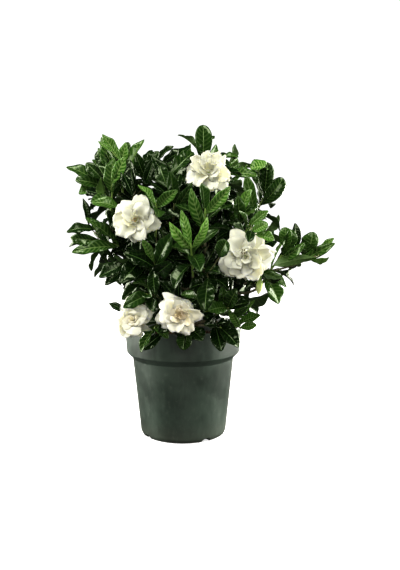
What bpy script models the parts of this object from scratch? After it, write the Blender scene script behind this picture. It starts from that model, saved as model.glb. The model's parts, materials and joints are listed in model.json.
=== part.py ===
"""A potted gardenia: a nursery pot with soil, one woody frame of stems, leafy shoots, double blooms, a bud.

Metres, +Z up. The origin is the centre of the pot's base, on the surface that the pot stands on, and the
front of the plant faces -Y. Every leaf and petal is a blade that grows out of a face of its twig or core.
"""

import math
import random
from collections import namedtuple

import bmesh
import bpy
from mathutils import Matrix, Vector
from mathutils.bvhtree import BVHTree

MM = 0.001
UP = Vector((0, 0, 1))
FRONT = Vector((0, -0.9, 0.45)).normalized()

# Pot
POT_SIDES = 32
POT_HEIGHT = 208 * MM
WALL = 1.8 * MM
RIM_RADIUS = 109 * MM
COLLAR_LOW_RADIUS = 105.5 * MM
COLLAR_LOW = 158 * MM
SHOULDER_RADIUS = 94.5 * MM
SHOULDER = 147 * MM
HEEL_RADIUS = 80 * MM
HEEL = 8 * MM
FOOT_RADIUS = 73 * MM
FLOOR = 4 * MM
NOTCH_COUNT = 4
NOTCH_TURN = math.radians(34)
NOTCH_WIDTH = 20 * MM
NOTCH_HEIGHT = 8 * MM

# Soil and woody frame
SEAT_GAP = 0.3 * MM
SOIL_TOP = 178 * MM
SOIL_LUMP = 2.5 * MM
TRUNK_SIDES = 8
TRUNK_RADIUS = 11 * MM
TRUNK_DEPTH = 60 * MM
TRUNK_RISE = 12 * MM
STEM_RADIUS = 5.0 * MM
STEM_TOP_RADIUS = 3.0 * MM
BRANCH_RADIUS = 2.6 * MM
TWIG_RADIUS = 2.1 * MM

# Shoots and leaves
SEED = 32
WHORL_LEAVES = 3
WHORL_SPACING = 17 * MM
WHORL_HEIGHT = 3.2 * MM
TWIG_FOOT = 14 * MM
LEAF_WIDTH_SHARE = 0.48
LEAF_THICKNESS = 1.2 * MM
PETAL_THICKNESS = 1.1 * MM
CLEARANCE = 0.35 * MM
SPINE_STEPS = 24
TRIES = 40
SET_TRIES = 200
SIDES_TRIED = 5
MISS = 0.15 * MM
STALK_WIDTH = 0.11

# Blooms and buds
CORE_SIDES = 6
CORE_LENGTH = 16 * MM
BUD_LENGTH = 30 * MM
BUD_RADIUS = 6.0 * MM

# Main stems: where each one ends, in millimetres.
STEMS = (
    (-75, -55, 400),
    (-30, -90, 360),
    (45, -85, 370),
    (110, -40, 330),
    (15, -20, 430),
    (-60, 30, 410),
    (20, 75, 400),
    (85, 45, 400),
)

# Blooms: eye in millimetres, the way it faces, size, turn in degrees, and set leaf tips from the eye.
BLOOMS = (
    ((-73, -175, 410), (-0.15, -1.0, 0.12), 1.06, 10, ()),
    ((45, -150, 490), (-0.1, -0.85, 0.4), 1.0, 0, ()),
    ((106, -190, 352), (0.1, -1.0, -0.05), 1.16, 25, ((-52, -6, 16),)),
    ((-2, -180, 256), (0.1, -1.0, -0.05), 1.0, 15, ()),
    ((-81, -150, 240), (-0.2, -0.9, -0.4), 0.92, 0, ((-22, -8, 34), (-43, 5, 36))),
    ((-95, 130, 430), (-0.55, 0.8, 0.3), 0.95, 0, ()),
    ((70, 150, 340), (0.4, 0.9, 0.1), 1.0, 20, ()),
)

# Buds: foot in millimetres and the way it points.
BUDS = (
    ((131, -165, 316), (-0.1, -0.35, -0.9)),
)

# Shoots without a flower: top whorl in millimetres, heading, whorls, leaf length in millimetres, and where
# the tips of its set leaves lie from the top whorl. The other leaves follow the rule for a whorl.
SHOOTS = (
    ((37, -60, 522), (0.0, -0.1, 1.0), 3, 66, ((0, -8, 50), (24, -6, 20), (-22, -5, 20))),
    ((-113, -60, 496), (-0.2, -0.2, 1.0), 3, 62,
     ((-28, -5, 62), (-40, -10, 44), (16, -15, 49), (50, 0, 50))),
    ((-150, -50, 470), (-0.85, -0.2, 0.35), 3, 66,
     ((-56, -5, 30), (-40, -20, 12), (-30, -22, -20), (-8, -25, 40))),
    ((-148, -80, 371), (-0.95, -0.25, 0.2), 3, 68,
     ((-60, -5, 12), (-48, -15, -18), (-12, -20, 38), (-20, 0, 42))),
    ((17, -190, 369), (-0.05, -0.6, 0.75), 3, 66, ((-38, -30, 41), (24, -20, 58), (-18, 0, 58))),
    ((232, -40, 338), (0.85, -0.15, 0.4), 2, 60,
     ((3, -15, 46), (47, -20, 28), (-58, -20, -10), (-50, -30, 4), (-16, -12, 34), (30, -28, 10))),
    ((152, 0, 448), (0.45, -0.15, 0.8), 3, 62, ((-22, 0, 66), (2, -12, 60), (30, -5, 38), (-34, -5, 40))),
    ((-43, -160, 333), (-0.05, -0.75, 0.6), 3, 62,
     ((-20, -25, 52), (33, -25, 56), (26, -30, 12), (-50, -20, 26))),
    ((-93, -120, 336), (-0.7, -0.45, -0.3), 3, 66, ((-53, -15, -27), (-38, -5, -40), (-12, -22, -34))),
    ((-120, -90, 458), (0.1, -0.4, 0.9), 3, 66, ((-34, -30, -20), (6, -22, 56), (-24, -15, 34))),
    ((-40, -170, 433), (0.05, -0.6, 0.75), 3, 56, ((-28, -20, 36), (34, -22, 28), (13, -30, -24))),
    ((-9, -140, 455), (0.1, -0.5, 0.8), 3, 50, ((-9, -20, 36), (26, -20, 22))),
    ((-26, -100, 475), (0.0, -0.35, 0.95), 3, 66, ((-24, -25, 42), (44, -10, 46), (10, 5, 56))),
    ((-67, -20, 493), (-0.1, -0.05, 1.0), 3, 60, ((-18, -12, 34), (26, -10, 34))),
    ((80, -90, 487), (0.75, -0.3, 0.45), 3, 60, ((52, -15, -4), (24, 5, 30), (40, -8, 20))),
    ((104, -130, 423), (0.2, -0.5, 0.8), 3, 52, ((12, -18, 40), (-12, -25, 28), (28, -20, 12))),
    ((40, -180, 425), (0.0, -0.6, 0.75), 3, 60, ((42, -25, 38), (-27, -20, 40))),
    ((98, -80, 410), (0.85, -0.35, 0.2), 3, 58, ((48, -12, 6), (20, -30, 24))),
    ((112, -160, 400), (0.25, -0.7, 0.6), 3, 46,
     ((30, -18, 8), (38, -14, -14), (-3, -48, -22), (34, 8, 24))),
    ((179, -80, 348), (0.6, -0.25, 0.75), 3, 56, ((7, -20, 44), (24, 0, 46), (40, -10, 22))),
    ((145, -145, 312), (0.6, -0.55, -0.35), 2, 58, ((28, -15, -42), (36, -10, -14))),
    ((38, -175, 331), (0.05, -0.9, 0.3), 3, 48, ((3, -18, 34), (26, -25, -6), (-20, -22, -2))),
    ((45, -140, 300), (0.0, -0.75, -0.3), 3, 66, ((-4, -22, -45), (34, -25, -8), (-38, -20, -4))),
    ((80, -150, 262), (0.35, -0.8, 0.2), 3, 60,
     ((-36, -25, 0), (14, -25, 34), (-10, -15, 38), (36, -20, 14))),
    ((98, -112, 232), (0.35, -0.45, 0.8), 3, 54,
     ((30, -10, 38), (16, -6, 48), (38, -18, 14), (-12, -28, 24))),
    ((66, -135, 226), (0.35, -0.85, -0.1), 2, 58, ((32, -22, -30), (4, -26, -36), (-28, -25, 8))),
    ((-45, -135, 226), (-0.3, -0.85, -0.25), 2, 62, ((-28, -20, -42), (22, -28, -16), (-40, -15, -12))),
    ((12, -135, 224), (0.05, -0.9, -0.3), 1, 60, ((-9, -20, -38), (26, -22, -18), (-34, -15, -8))),
    ((-61, -95, 305), (-0.55, -0.6, -0.1), 3, 64, ((-43, -20, -34), (16, -32, -28), (-30, -25, 20))),
    ((-56, -145, 284), (-0.5, -0.75, 0.2), 3, 56, ((-40, -20, -20), (-30, -15, 22))),
)
BACK_SHOOTS = 11
CROWN_CENTRE = 370 * MM
CROWN_RISE = 185 * MM
CROWN_RADIUS = 165 * MM
GOLDEN = 0.618034

Blade = namedtuple("Blade", "kind root along side up length width droop curl fold twist sway")
Path = namedtuple("Path", "start bend end")
Shoot = namedtuple("Shoot", "path tip_kind whorls leaf_length roll set_tips")


# Geometry shared by everything that grows


def blend(a, b, t):
    return a + (b - a) * t


def on_path(path, t):
    """The point at t from 0 to 1 along a quadratic curve."""
    return blend(blend(path.start, path.bend, t), blend(path.bend, path.end, t), t)


def heading_on(path, t):
    return blend(path.bend - path.start, path.end - path.bend, t).normalized()


def across(heading):
    """Two directions square to a heading and to each other."""
    reference = UP if abs(heading.z) < 0.95 else Vector((0, -1, 0))
    side = heading.cross(reference).normalized()
    return side, heading.cross(side)


def ring(centre, heading, radius, sides, turn):
    """Corners of a regular polygon, counter-clockwise round the heading."""
    first, second = across(heading)
    angles = [turn + 2 * math.pi * k / sides for k in range(sides)]
    return [centre + radius * (first * math.cos(a) + second * math.sin(a)) for a in angles]


def leaf_outline(t):
    """Half width over the greatest: a wedge-shaped base, widest past the middle, and a pointed end."""
    return max(STALK_WIDTH * (1 - t), 3.21 * t**0.95 * (1 - t) ** 0.75)


def petal_outline(t):
    """Half width over the greatest: a narrow claw that broadens to a round end."""
    widening = min(1.0, t / 0.6)
    closing = max(0.0, (t - 0.6) / 0.4)
    return (0.15 + 0.85 * math.sin(widening * math.pi / 2) ** 1.4) * math.sqrt(max(0.0, 1 - closing**2.4))


# For each kind of blade: its outline, its thickness, and the spine steps at which its solid has a section.
Kind = namedtuple("Kind", "outline thickness stations")
KINDS = {
    "leaf": Kind(leaf_outline, LEAF_THICKNESS, (7, 14, 20)),
    "small leaf": Kind(leaf_outline, LEAF_THICKNESS, (9, 17)),
    "petal": Kind(petal_outline, PETAL_THICKNESS, (4, 13, 21)),
    "heart petal": Kind(petal_outline, PETAL_THICKNESS, (9, 19)),
}


def spine(blade):
    """Centre, side and upper normal at even steps along a blade."""
    centre = sum(blade.root, Vector()) / len(blade.root)
    found = []
    for k in range(SPINE_STEPS + 1):
        t = k / SPINE_STEPS
        pitch = blade.droop * t + blade.curl * t**3
        along = blade.along * math.cos(pitch) - blade.up * math.sin(pitch)
        up = blade.up * math.cos(pitch) + blade.along * math.sin(pitch)
        roll = blade.twist * t
        side = blade.side * math.cos(roll) + up * math.sin(roll)
        normal = up * math.cos(roll) - blade.side * math.sin(roll)
        found.append((centre + blade.side * (blade.sway * blade.length * t * t), side, normal))
        centre = centre + along * (blade.length / SPINE_STEPS)
    return found


def blade_points(blade, swell=0.0):
    """Root corners, then left, top, right and bottom at each station, then the tip."""
    kind = KINDS[blade.kind]
    along = spine(blade)
    found = list(blade.root)
    for k in kind.stations:
        centre, side, normal = along[k]
        half = blade.width / 2 * kind.outline(k / SPINE_STEPS) + swell
        lift = normal * (half * math.sin(blade.fold))
        reach = side * (half * math.cos(blade.fold))
        middle = normal * (kind.thickness / 2 + swell)
        found += [centre + reach + lift, centre + middle, centre - reach + lift, centre - middle]
    return found + [along[-1][0]]


def blade_triangles(rings):
    """Triangles over that many rings of four and a tip. Both faces are split alike, so they can't cross."""
    found = []
    for first in range(0, 4 * (rings - 1), 4):
        left, top, right, bottom = range(first, first + 4)
        for edge, middle, turned in ((left, top, 0), (right, top, 1), (right, bottom, 0), (left, bottom, 1)):
            near = (edge, middle, edge + 4)
            far = (middle, middle + 4, edge + 4)
            found += [near[::-1], far[::-1]] if turned else [near, far]
    last = 4 * (rings - 1)
    found += [(last + k, last + (k + 1) % 4, last + 4) for k in range(4)]
    return found


def tube(path, radii, sides, steps):
    """Points and faces of a closed tube along a path."""
    points, faces = [], []
    for k in range(steps + 1):
        t = k / steps
        points += ring(on_path(path, t), heading_on(path, t), blend(*radii, t), sides, 0)
        if k:
            base = sides * (k - 1)
            for a in range(sides):
                b = (a + 1) % sides
                faces.append((base + a, base + b, base + sides + b, base + sides + a))
    faces.append(tuple(reversed(range(sides))))
    faces.append(tuple(range(sides * steps, sides * (steps + 1))))
    return points, faces


def branch_tube(path):
    steps = 2 if (path.end - path.start).length < 80 * MM else 3
    return tube(path, (BRANCH_RADIUS, TWIG_RADIUS), 4, steps)


class Thicket:
    """Everything placed so far, to keep a new piece clear of it."""

    def __init__(self):
        self.placed = []

    def add(self, owner, points, faces):
        self.placed.append((owner, bounds(points), BVHTree.FromPolygons(points, faces), points, faces))

    def is_clear(self, owner, points, faces):
        """Whether these faces cross nothing. In one owner, faces that share a corner may touch."""
        low, high = bounds(points)
        tree = BVHTree.FromPolygons(points, faces)
        for other, (other_low, other_high), other_tree, other_points, other_faces in self.placed:
            if any(low[k] > other_high[k] or high[k] < other_low[k] for k in range(3)):
                continue
            crossings = tree.overlap(other_tree)
            if crossings and other != owner:
                return False
            for mine, theirs in crossings:
                corners = [other_points[k] for k in other_faces[theirs]]
                if not any(points[k] in corners for k in faces[mine]):
                    return False
        return True


def bounds(points):
    return [min(p[k] for p in points) for k in range(3)], [max(p[k] for p in points) for k in range(3)]


# Layout of the plant


def over_rim(point):
    """Lifts a point that lies at the pot's rim until a twig there clears it."""
    if abs(math.hypot(point.x, point.y) - RIM_RADIUS) > 14 * MM:
        return point
    return Vector((point.x, point.y, max(point.z, POT_HEIGHT + 6 * MM)))


def arched(tip, heading, length):
    """A twig's path to its tip: it leaves the branch more upright and bends over to its heading."""
    rising = (heading + 0.35 * UP).normalized()
    bend = tip - heading * (length / 2)
    return Path(over_rim(bend - rising * (length / 2)), over_rim(bend), tip)


def all_shoots():
    """The shoots that carry blooms, those that carry buds, the leafy ones, and those at the back."""
    found = []
    for eye, facing, _, _, set_tips in BLOOMS:
        facing = Vector(facing).normalized()
        tip = Vector(eye) * MM - facing * (CORE_LENGTH + SEAT_GAP)
        ends = [(Vector(eye) + Vector(end)) * MM for end in set_tips]
        found.append(Shoot(arched(tip, facing, 62 * MM), "bloom", 2, 62 * MM, 0.5, ends))
    for foot, pointing in BUDS:
        pointing = Vector(pointing).normalized()
        tip = Vector(foot) * MM - pointing * SEAT_GAP
        found.append(Shoot(arched(tip, pointing, 50 * MM), "bud", 1, 50 * MM, 0.2, ()))
    for k, (tip, heading, whorls, leaf, set_tips) in enumerate(SHOOTS):
        length = TWIG_FOOT + whorls * WHORL_SPACING
        path = arched(Vector(tip) * MM, Vector(heading).normalized(), length)
        ends = [(Vector(tip) + Vector(end)) * MM for end in set_tips]
        found.append(Shoot(path, "leaf", whorls, leaf * MM, 0.5 * k, ends))
    for k in range(BACK_SHOOTS):
        azimuth = math.radians(8 + 164 * (k * GOLDEN % 1))
        rise = 0.92 * (2 * (k + 0.5) / BACK_SHOOTS - 1)
        reach = CROWN_RADIUS * math.sqrt(1 - rise * rise * 0.8)
        outward = Vector((math.cos(azimuth), math.sin(azimuth), 0))
        tip = outward * reach + UP * (CROWN_CENTRE + CROWN_RISE * rise * 0.8)
        heading = (outward + UP * (0.25 + 0.9 * rise)).normalized()
        path = arched(tip, heading, TWIG_FOOT + 3 * WHORL_SPACING)
        found.append(Shoot(path, "leaf", 3, 72 * MM, 0.4 * k, ()))
    return found


def stem_paths():
    foot = UP * (SOIL_TOP + TRUNK_RISE * 0.4)
    found = []
    for top in STEMS:
        top = Vector(top) * MM
        lean = Vector((top.x, top.y, 0))
        bend = Vector((top.x * 0.55, top.y * 0.55, blend(foot.z, top.z, 0.45)))
        found.append(Path(foot + lean * 0.06, bend, top))
    return found


def branch_path(stems, shoot):
    """From the handiest point of a main stem to the foot of the shoot, ending in line with it."""
    foot = shoot.path.start
    rising = heading_on(shoot.path, 0)

    def cost(point):
        return (foot - point).length + 2 * max(0.0, point.z + 20 * MM - foot.z)

    candidates = [on_path(stem, k / 20) for stem in stems for k in range(4, 20)]
    origin = min(candidates, key=cost)
    return Path(origin, foot - rising * (0.45 * (foot - origin).length), foot)


def twig_rings(shoot):
    """Rings of three corners up a twig: its foot, then the low and high ring of each whorl, then its top."""
    path, length = shoot.path, (shoot.path.end - shoot.path.start).length
    flower = shoot.tip_kind != "leaf"
    top = length - (6 * MM if flower else WHORL_HEIGHT)
    spots = [SEAT_GAP / length]
    for k in reversed(range(shoot.whorls)):
        low = (top - k * WHORL_SPACING - WHORL_HEIGHT) / length
        spots += [low, low + WHORL_HEIGHT / length]
    spots.append(1.0)
    turns = [shoot.roll]
    for k in range(shoot.whorls):
        turns += [shoot.roll + math.pi / 3 * k] * 2
    turns.append(turns[-1])
    radii = [blend(TWIG_RADIUS, 0.75 * TWIG_RADIUS, t) for t in spots]
    radii[-1] = 3.4 * MM if flower else 0.4 * TWIG_RADIUS
    return [
        ring(on_path(path, t), heading_on(path, t), radius, WHORL_LEAVES, turn)
        for t, radius, turn in zip(spots, radii, turns)
    ]


def bands(rings):
    """Points and triangles of a closed stack of rings with the same number of corners."""
    sides = len(rings[0])
    points = [p for one in rings for p in one]
    faces = []
    for base in range(0, sides * (len(rings) - 1), sides):
        faces += [face for k in range(sides) for face in split(*quad(base, k, sides))]
    faces.append(tuple(reversed(range(sides))))
    faces.append(tuple(range(len(points) - sides, len(points))))
    return points, faces


def quad(base, k, sides):
    """The corners of side k between the ring that starts at base and the next one."""
    following = (k + 1) % sides
    return base + k, base + following, base + sides + following, base + sides + k


def split(a, b, c, d):
    return [(a, b, c), (a, c, d)]


def root_of(points, corners):
    """A blade's root: the corners of the face that it grows from, as left, top, right and bottom."""
    low_right, low_left, high_left, high_right = (points[k] for k in corners)
    return low_left, high_left, high_right, low_right


def fitted(thicket, owner, make, tries=TRIES):
    """The first of some blades, drawn by make(try), that is clear of everything placed, or None."""
    for attempt in range(tries):
        blade = make(attempt)
        faces = blade_triangles(1 + len(KINDS[blade.kind].stations))
        if thicket.is_clear(owner, blade_points(blade, CLEARANCE), faces):
            thicket.add(owner, blade_points(blade), faces)
            return blade
    return None


def set_leaf_maker(draw, shoot, target, roots):
    """Draws a leaf whose tip lies at the target and whose face turns to the front, from one root after
    another."""
    width = shoot.leaf_length * LEAF_WIDTH_SHARE * draw.uniform(0.94, 1.08)

    def make(attempt):
        root = roots[attempt % len(roots)]
        spread = 0.25 + 0.012 * attempt
        face = (FRONT + Vector([draw.uniform(-spread, spread) for _ in range(3)])).normalized()
        droop = draw.uniform(0.25, 0.8)
        curl = draw.uniform(0.0, 0.3)
        fold = math.radians(draw.uniform(9, 20))
        twist = draw.uniform(-0.25, 0.25)
        miss = Vector([draw.uniform(-1, 1) for _ in range(3)]) * (MISS * attempt)
        centre = sum(root, Vector()) / 4
        chord = target + miss - centre
        along = chord.normalized()
        up = (face - along * face.dot(along)).normalized()
        lift = droop / 2 + curl / 4
        raised = along * math.cos(lift) + up * math.sin(lift)
        along, up = raised, up * math.cos(lift) - along * math.sin(lift)
        length = chord.length * (1 + (droop + curl) ** 2 / 24)
        shrink = max(0.7, 1 - 0.003 * attempt)
        sway = draw.uniform(-0.05, 0.05)
        return Blade(
            "leaf", root, along, up.cross(along), up, length * shrink, width * shrink,
            droop, curl, fold, twist, sway,
        )

    return make


def leaf_maker(draw, shoot, whorl, outward, heading, root):
    """Draws a leaf for this place. Later tries turn, tilt and shorten it more."""
    age = shoot.whorls - 1 - whorl
    kind = "leaf" if age == 1 else "small leaf"
    tilt = math.radians((30, 58, 78, 86)[min(age, 3)]) + draw.uniform(-0.12, 0.12)
    if shoot.tip_kind != "leaf":
        tilt += 0.45
    length = shoot.leaf_length * (0.86, 1.0, 1.04, 1.0)[min(age, 3)] * draw.uniform(0.86, 1.1)
    droop = (0.35, 0.7, 0.9, 1.0)[min(age, 3)] * draw.uniform(0.6, 1.3)
    fold = math.radians((26, 17, 13, 12)[min(age, 3)]) * draw.uniform(0.8, 1.25)

    def make(attempt):
        spread = min(0.6, 0.06 * attempt)
        pitch = tilt + draw.uniform(-1, 1) * spread
        swing = draw.uniform(-1, 1) * (0.08 + spread)
        shrink = max(0.55, 1 - 0.015 * attempt)
        out = (outward * math.cos(swing) + heading.cross(outward) * math.sin(swing)).normalized()
        along = heading * math.cos(pitch) + out * math.sin(pitch)
        up = heading * math.sin(pitch) - out * math.cos(pitch) + UP * 0.45
        up = (up - along * up.dot(along)).normalized()
        width = length * shrink * LEAF_WIDTH_SHARE * draw.uniform(0.9, 1.12)
        return Blade(
            kind, root, along, up.cross(along), up, length * shrink, width,
            droop, draw.uniform(-0.1, 0.3), fold, draw.uniform(-0.3, 0.3), draw.uniform(-0.08, 0.08),
        )

    return make


def leaf_places(shoot, rings):
    """For each side of each whorl: its corners, whorl, outward direction, heading and root."""
    points = [p for one in rings for p in one]
    found = []
    for whorl in range(shoot.whorls):
        low, high = rings[1 + 2 * whorl], rings[2 + 2 * whorl]
        heading = (sum(high, Vector()) - sum(low, Vector())).normalized()
        centre = (sum(high, Vector()) + sum(low, Vector())) / 6
        for k in range(WHORL_LEAVES):
            corners = quad(WHORL_LEAVES * (1 + 2 * whorl), k, WHORL_LEAVES)
            root = root_of(points, corners)
            outward = sum(root, Vector()) / 4 - centre
            outward = (outward - heading * outward.dot(heading)).normalized()
            found.append((corners, whorl, outward, heading, root))
    return found


def grow_set_leaves(thicket, draw, owner, shoot, places):
    """Gives each set tip a leaf, from a free side that faces it and has room. Returns the leaves and the
    sides left."""
    blades, free = {}, list(places)
    for target in shoot.set_tips:
        way = (target - shoot.path.end).normalized()
        ranked = sorted(free, key=lambda one: -one[2].dot(way) - 0.2 * one[1])
        roots = [place[4] for place in ranked[:SIDES_TRIED]]
        blade = fitted(thicket, owner, set_leaf_maker(draw, shoot, target, roots), SET_TRIES)
        if blade:
            place = next(one for one in ranked if one[4] == blade.root)
            blades[place[0]] = blade
            free.remove(place)
    return blades, free


def grow_other_leaves(thicket, draw, owner, shoot, free):
    """A blade, or None where there is no room, for each side that is still free."""
    return {
        corners: fitted(thicket, owner, leaf_maker(draw, shoot, whorl, outward, heading, root))
        for corners, whorl, outward, heading, root in free
    }


BLOOM_WHORLS = (
    # kind, petals that grow, tilt from the axis, length, width, droop, curl, fold, roll
    ("petal", 6, 88, 41, 31, 0.35, 0.5, 9, 15),
    ("petal", 6, 62, 33, 27, -0.1, 0.6, 12, 16),
    ("heart petal", 6, 36, 25, 19, -0.4, 0.5, 14, 17),
    ("heart petal", 3, 20, 17, 12, -0.35, 0.3, 16, 16),
)
CORE_RADII = (2.3, 2.7, 4.6, 5.2, 4.4, 3.0)
CORE_SPOTS = (0.0, 0.55, 0.7, 0.84, 0.96, 1.06)


def core_rings(eye, facing, size, turn):
    """Rings of six corners up a bloom's tube and heart. Each is turned half a side from the last."""
    foot = eye - facing * CORE_LENGTH
    found = []
    for k, (spot, radius) in enumerate(zip(CORE_SPOTS, CORE_RADII)):
        centre = foot + facing * (CORE_LENGTH * spot)
        found.append(ring(centre, facing, radius * MM * size, CORE_SIDES, turn + math.pi / CORE_SIDES * k))
    return found


def petal_maker(draw, row, size, outward, facing, root):
    kind, _, tilt, length, width, droop, curl, fold, roll = row
    tilt = math.radians(tilt) + draw.uniform(-0.07, 0.07)
    length *= MM * size * draw.uniform(0.9, 1.08)
    width *= MM * size * draw.uniform(0.92, 1.06)

    def make(attempt):
        pitch = tilt + draw.uniform(-1, 1) * 0.015 * attempt
        shrink = 1 - 0.012 * attempt
        along = facing * math.cos(pitch) + outward * math.sin(pitch)
        up = facing * math.sin(pitch) - outward * math.cos(pitch)
        side = up.cross(along)
        turn = math.radians(roll) + draw.uniform(-0.05, 0.05)
        side, up = side * math.cos(turn) + up * math.sin(turn), up * math.cos(turn) - side * math.sin(turn)
        return Blade(
            kind, root, along, side, up, length * shrink, width * shrink,
            droop + draw.uniform(-0.1, 0.1), curl, math.radians(fold), draw.uniform(-0.1, 0.1), 0.0,
        )

    return make


def grow_bloom(thicket, draw, owner, eye, facing, size, turn):
    """The core's points and rings, and a blade or None for each side that a petal grows from."""
    rings = core_rings(eye, facing, size, turn)
    points = [p for one in rings for p in one]
    blades = {}
    for whorl, row in enumerate(BLOOM_WHORLS):
        for k in range(0, CORE_SIDES, CORE_SIDES // row[1]):
            corners = quad(CORE_SIDES * (1 + whorl), k, CORE_SIDES)
            root = root_of(points, corners)
            outward = sum(root, Vector()) / 4 - eye
            outward = (outward - facing * outward.dot(facing)).normalized()
            make = petal_maker(draw, row, size, outward, facing, root)
            blades[corners] = fitted(thicket, owner, make)
    return points, rings, blades


def bud_rings(foot, pointing):
    """A long bud: a narrow neck, a swollen middle and a pointed top, twisted a little from ring to ring."""
    shape = ((0.0, 0.42), (0.25, 0.6), (0.5, 1.0), (0.75, 0.78), (0.93, 0.34), (1.0, 0.08))
    return [
        ring(foot + pointing * (BUD_LENGTH * t), pointing, BUD_RADIUS * share, CORE_SIDES, 0.35 * k)
        for k, (t, share) in enumerate(shape)
    ]


def grow_plant():
    """Stems and branches, the buds, the blooms and the shoots, each placed clear of what came before."""
    draw = random.Random(SEED)
    thicket = Thicket()
    for _, points, faces in (pot_wall(), pot_rim()):
        thicket.add("pot", points, faces)
    shoots = all_shoots()
    stems = stem_paths()
    branches = [branch_path(stems, shoot) for shoot in shoots]
    for path in stems:
        thicket.add("wood", *tube(path, (STEM_RADIUS, STEM_TOP_RADIUS), 5, 4))
    for path in branches:
        thicket.add("wood", *branch_tube(path))
    for k, shoot in enumerate(shoots):
        thicket.add(f"shoot_{k + 1:02}", *bands(twig_rings(shoot)))
    blooms = []
    for k, (eye, facing, size, turn, _) in enumerate(BLOOMS):
        name = f"bloom_{k + 1}"
        place = Vector(eye) * MM, Vector(facing).normalized(), size, math.radians(turn)
        thicket.add(name, *bands(core_rings(*place)))
        blooms.append((name, *grow_bloom(thicket, draw, name, *place)))
    buds = []
    for k, (foot, pointing) in enumerate(BUDS):
        rings = bud_rings(Vector(foot) * MM, Vector(pointing).normalized())
        thicket.add(f"bud_{k + 1}", *bands(rings))
        buds.append((f"bud_{k + 1}", rings))
    names = [f"shoot_{k + 1:02}" for k in range(len(shoots))]
    twigs = [twig_rings(shoot) for shoot in shoots]
    first = [
        grow_set_leaves(thicket, draw, name, shoot, leaf_places(shoot, rings))
        for name, shoot, rings in zip(names, shoots, twigs)
    ]
    sprays = []
    for name, shoot, rings, (blades, free) in zip(names, shoots, twigs, first):
        blades.update(grow_other_leaves(thicket, draw, name, shoot, free))
        sprays.append((name, [p for one in rings for p in one], rings, blades))
    return stems, branches, blooms, buds, sprays


def pot_wall():
    """A plain stand-in for the pot's outside, to keep leaves off it."""
    rings = [
        ring(UP * z, UP, radius, POT_SIDES, 0)
        for z, radius in ((0, HEEL_RADIUS), (SHOULDER, SHOULDER_RADIUS), (COLLAR_LOW, COLLAR_LOW_RADIUS))
    ]
    return "pot", *bands(rings)


def pot_rim():
    rings = [
        ring(UP * z, UP, radius, POT_SIDES, 0)
        for z, radius in ((COLLAR_LOW, COLLAR_LOW_RADIUS), (POT_HEIGHT, RIM_RADIUS))
    ]
    return "pot", *bands(rings)


# Solids


def material(name, colour, roughness):
    made = bpy.data.materials.new(name)
    made.use_nodes = True
    shader = made.node_tree.nodes["Principled BSDF"]
    shader.inputs["Base Color"].default_value = (*colour, 1)
    shader.inputs["Roughness"].default_value = roughness
    return made


def put(name, points, faces, finish):
    """A new object with these faces."""
    mesh = bpy.data.meshes.new(name)
    mesh.from_pydata([tuple(p) for p in points], [], faces)
    mesh.materials.append(finish)
    made = bpy.data.objects.new(name, mesh)
    bpy.context.scene.collection.objects.link(made)
    return made


def lathe(name, profile, sides, finish):
    """Turns a profile of (radius, height) about the vertical axis. It starts and ends on the axis."""
    bm = bmesh.new()
    points = [bm.verts.new((radius, 0, height)) for radius, height in profile]
    edges = [bm.edges.new(pair) for pair in zip(points, points[1:])]
    bmesh.ops.spin(
        bm, geom=points + edges, cent=(0, 0, 0), axis=(0, 0, 1),
        angle=2 * math.pi, steps=sides, use_merge=True,
    )
    bmesh.ops.remove_doubles(bm, verts=bm.verts, dist=0.01 * MM)
    bmesh.ops.recalc_face_normals(bm, faces=bm.faces)
    mesh = bpy.data.meshes.new(name)
    bm.to_mesh(mesh)
    bm.free()
    mesh.materials.append(finish)
    made = bpy.data.objects.new(name, mesh)
    bpy.context.scene.collection.objects.link(made)
    return made


def inner_radius(z):
    """Radius of the pot's inside at a height above its heel."""
    if z < SHOULDER:
        return blend(HEEL_RADIUS, SHOULDER_RADIUS, (z - HEEL) / (SHOULDER - HEEL)) - WALL
    if z < COLLAR_LOW:
        return blend(SHOULDER_RADIUS, COLLAR_LOW_RADIUS, (z - SHOULDER) / (COLLAR_LOW - SHOULDER)) - WALL
    return blend(COLLAR_LOW_RADIUS, RIM_RADIUS, (z - COLLAR_LOW) / (POT_HEIGHT - COLLAR_LOW)) - WALL


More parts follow.
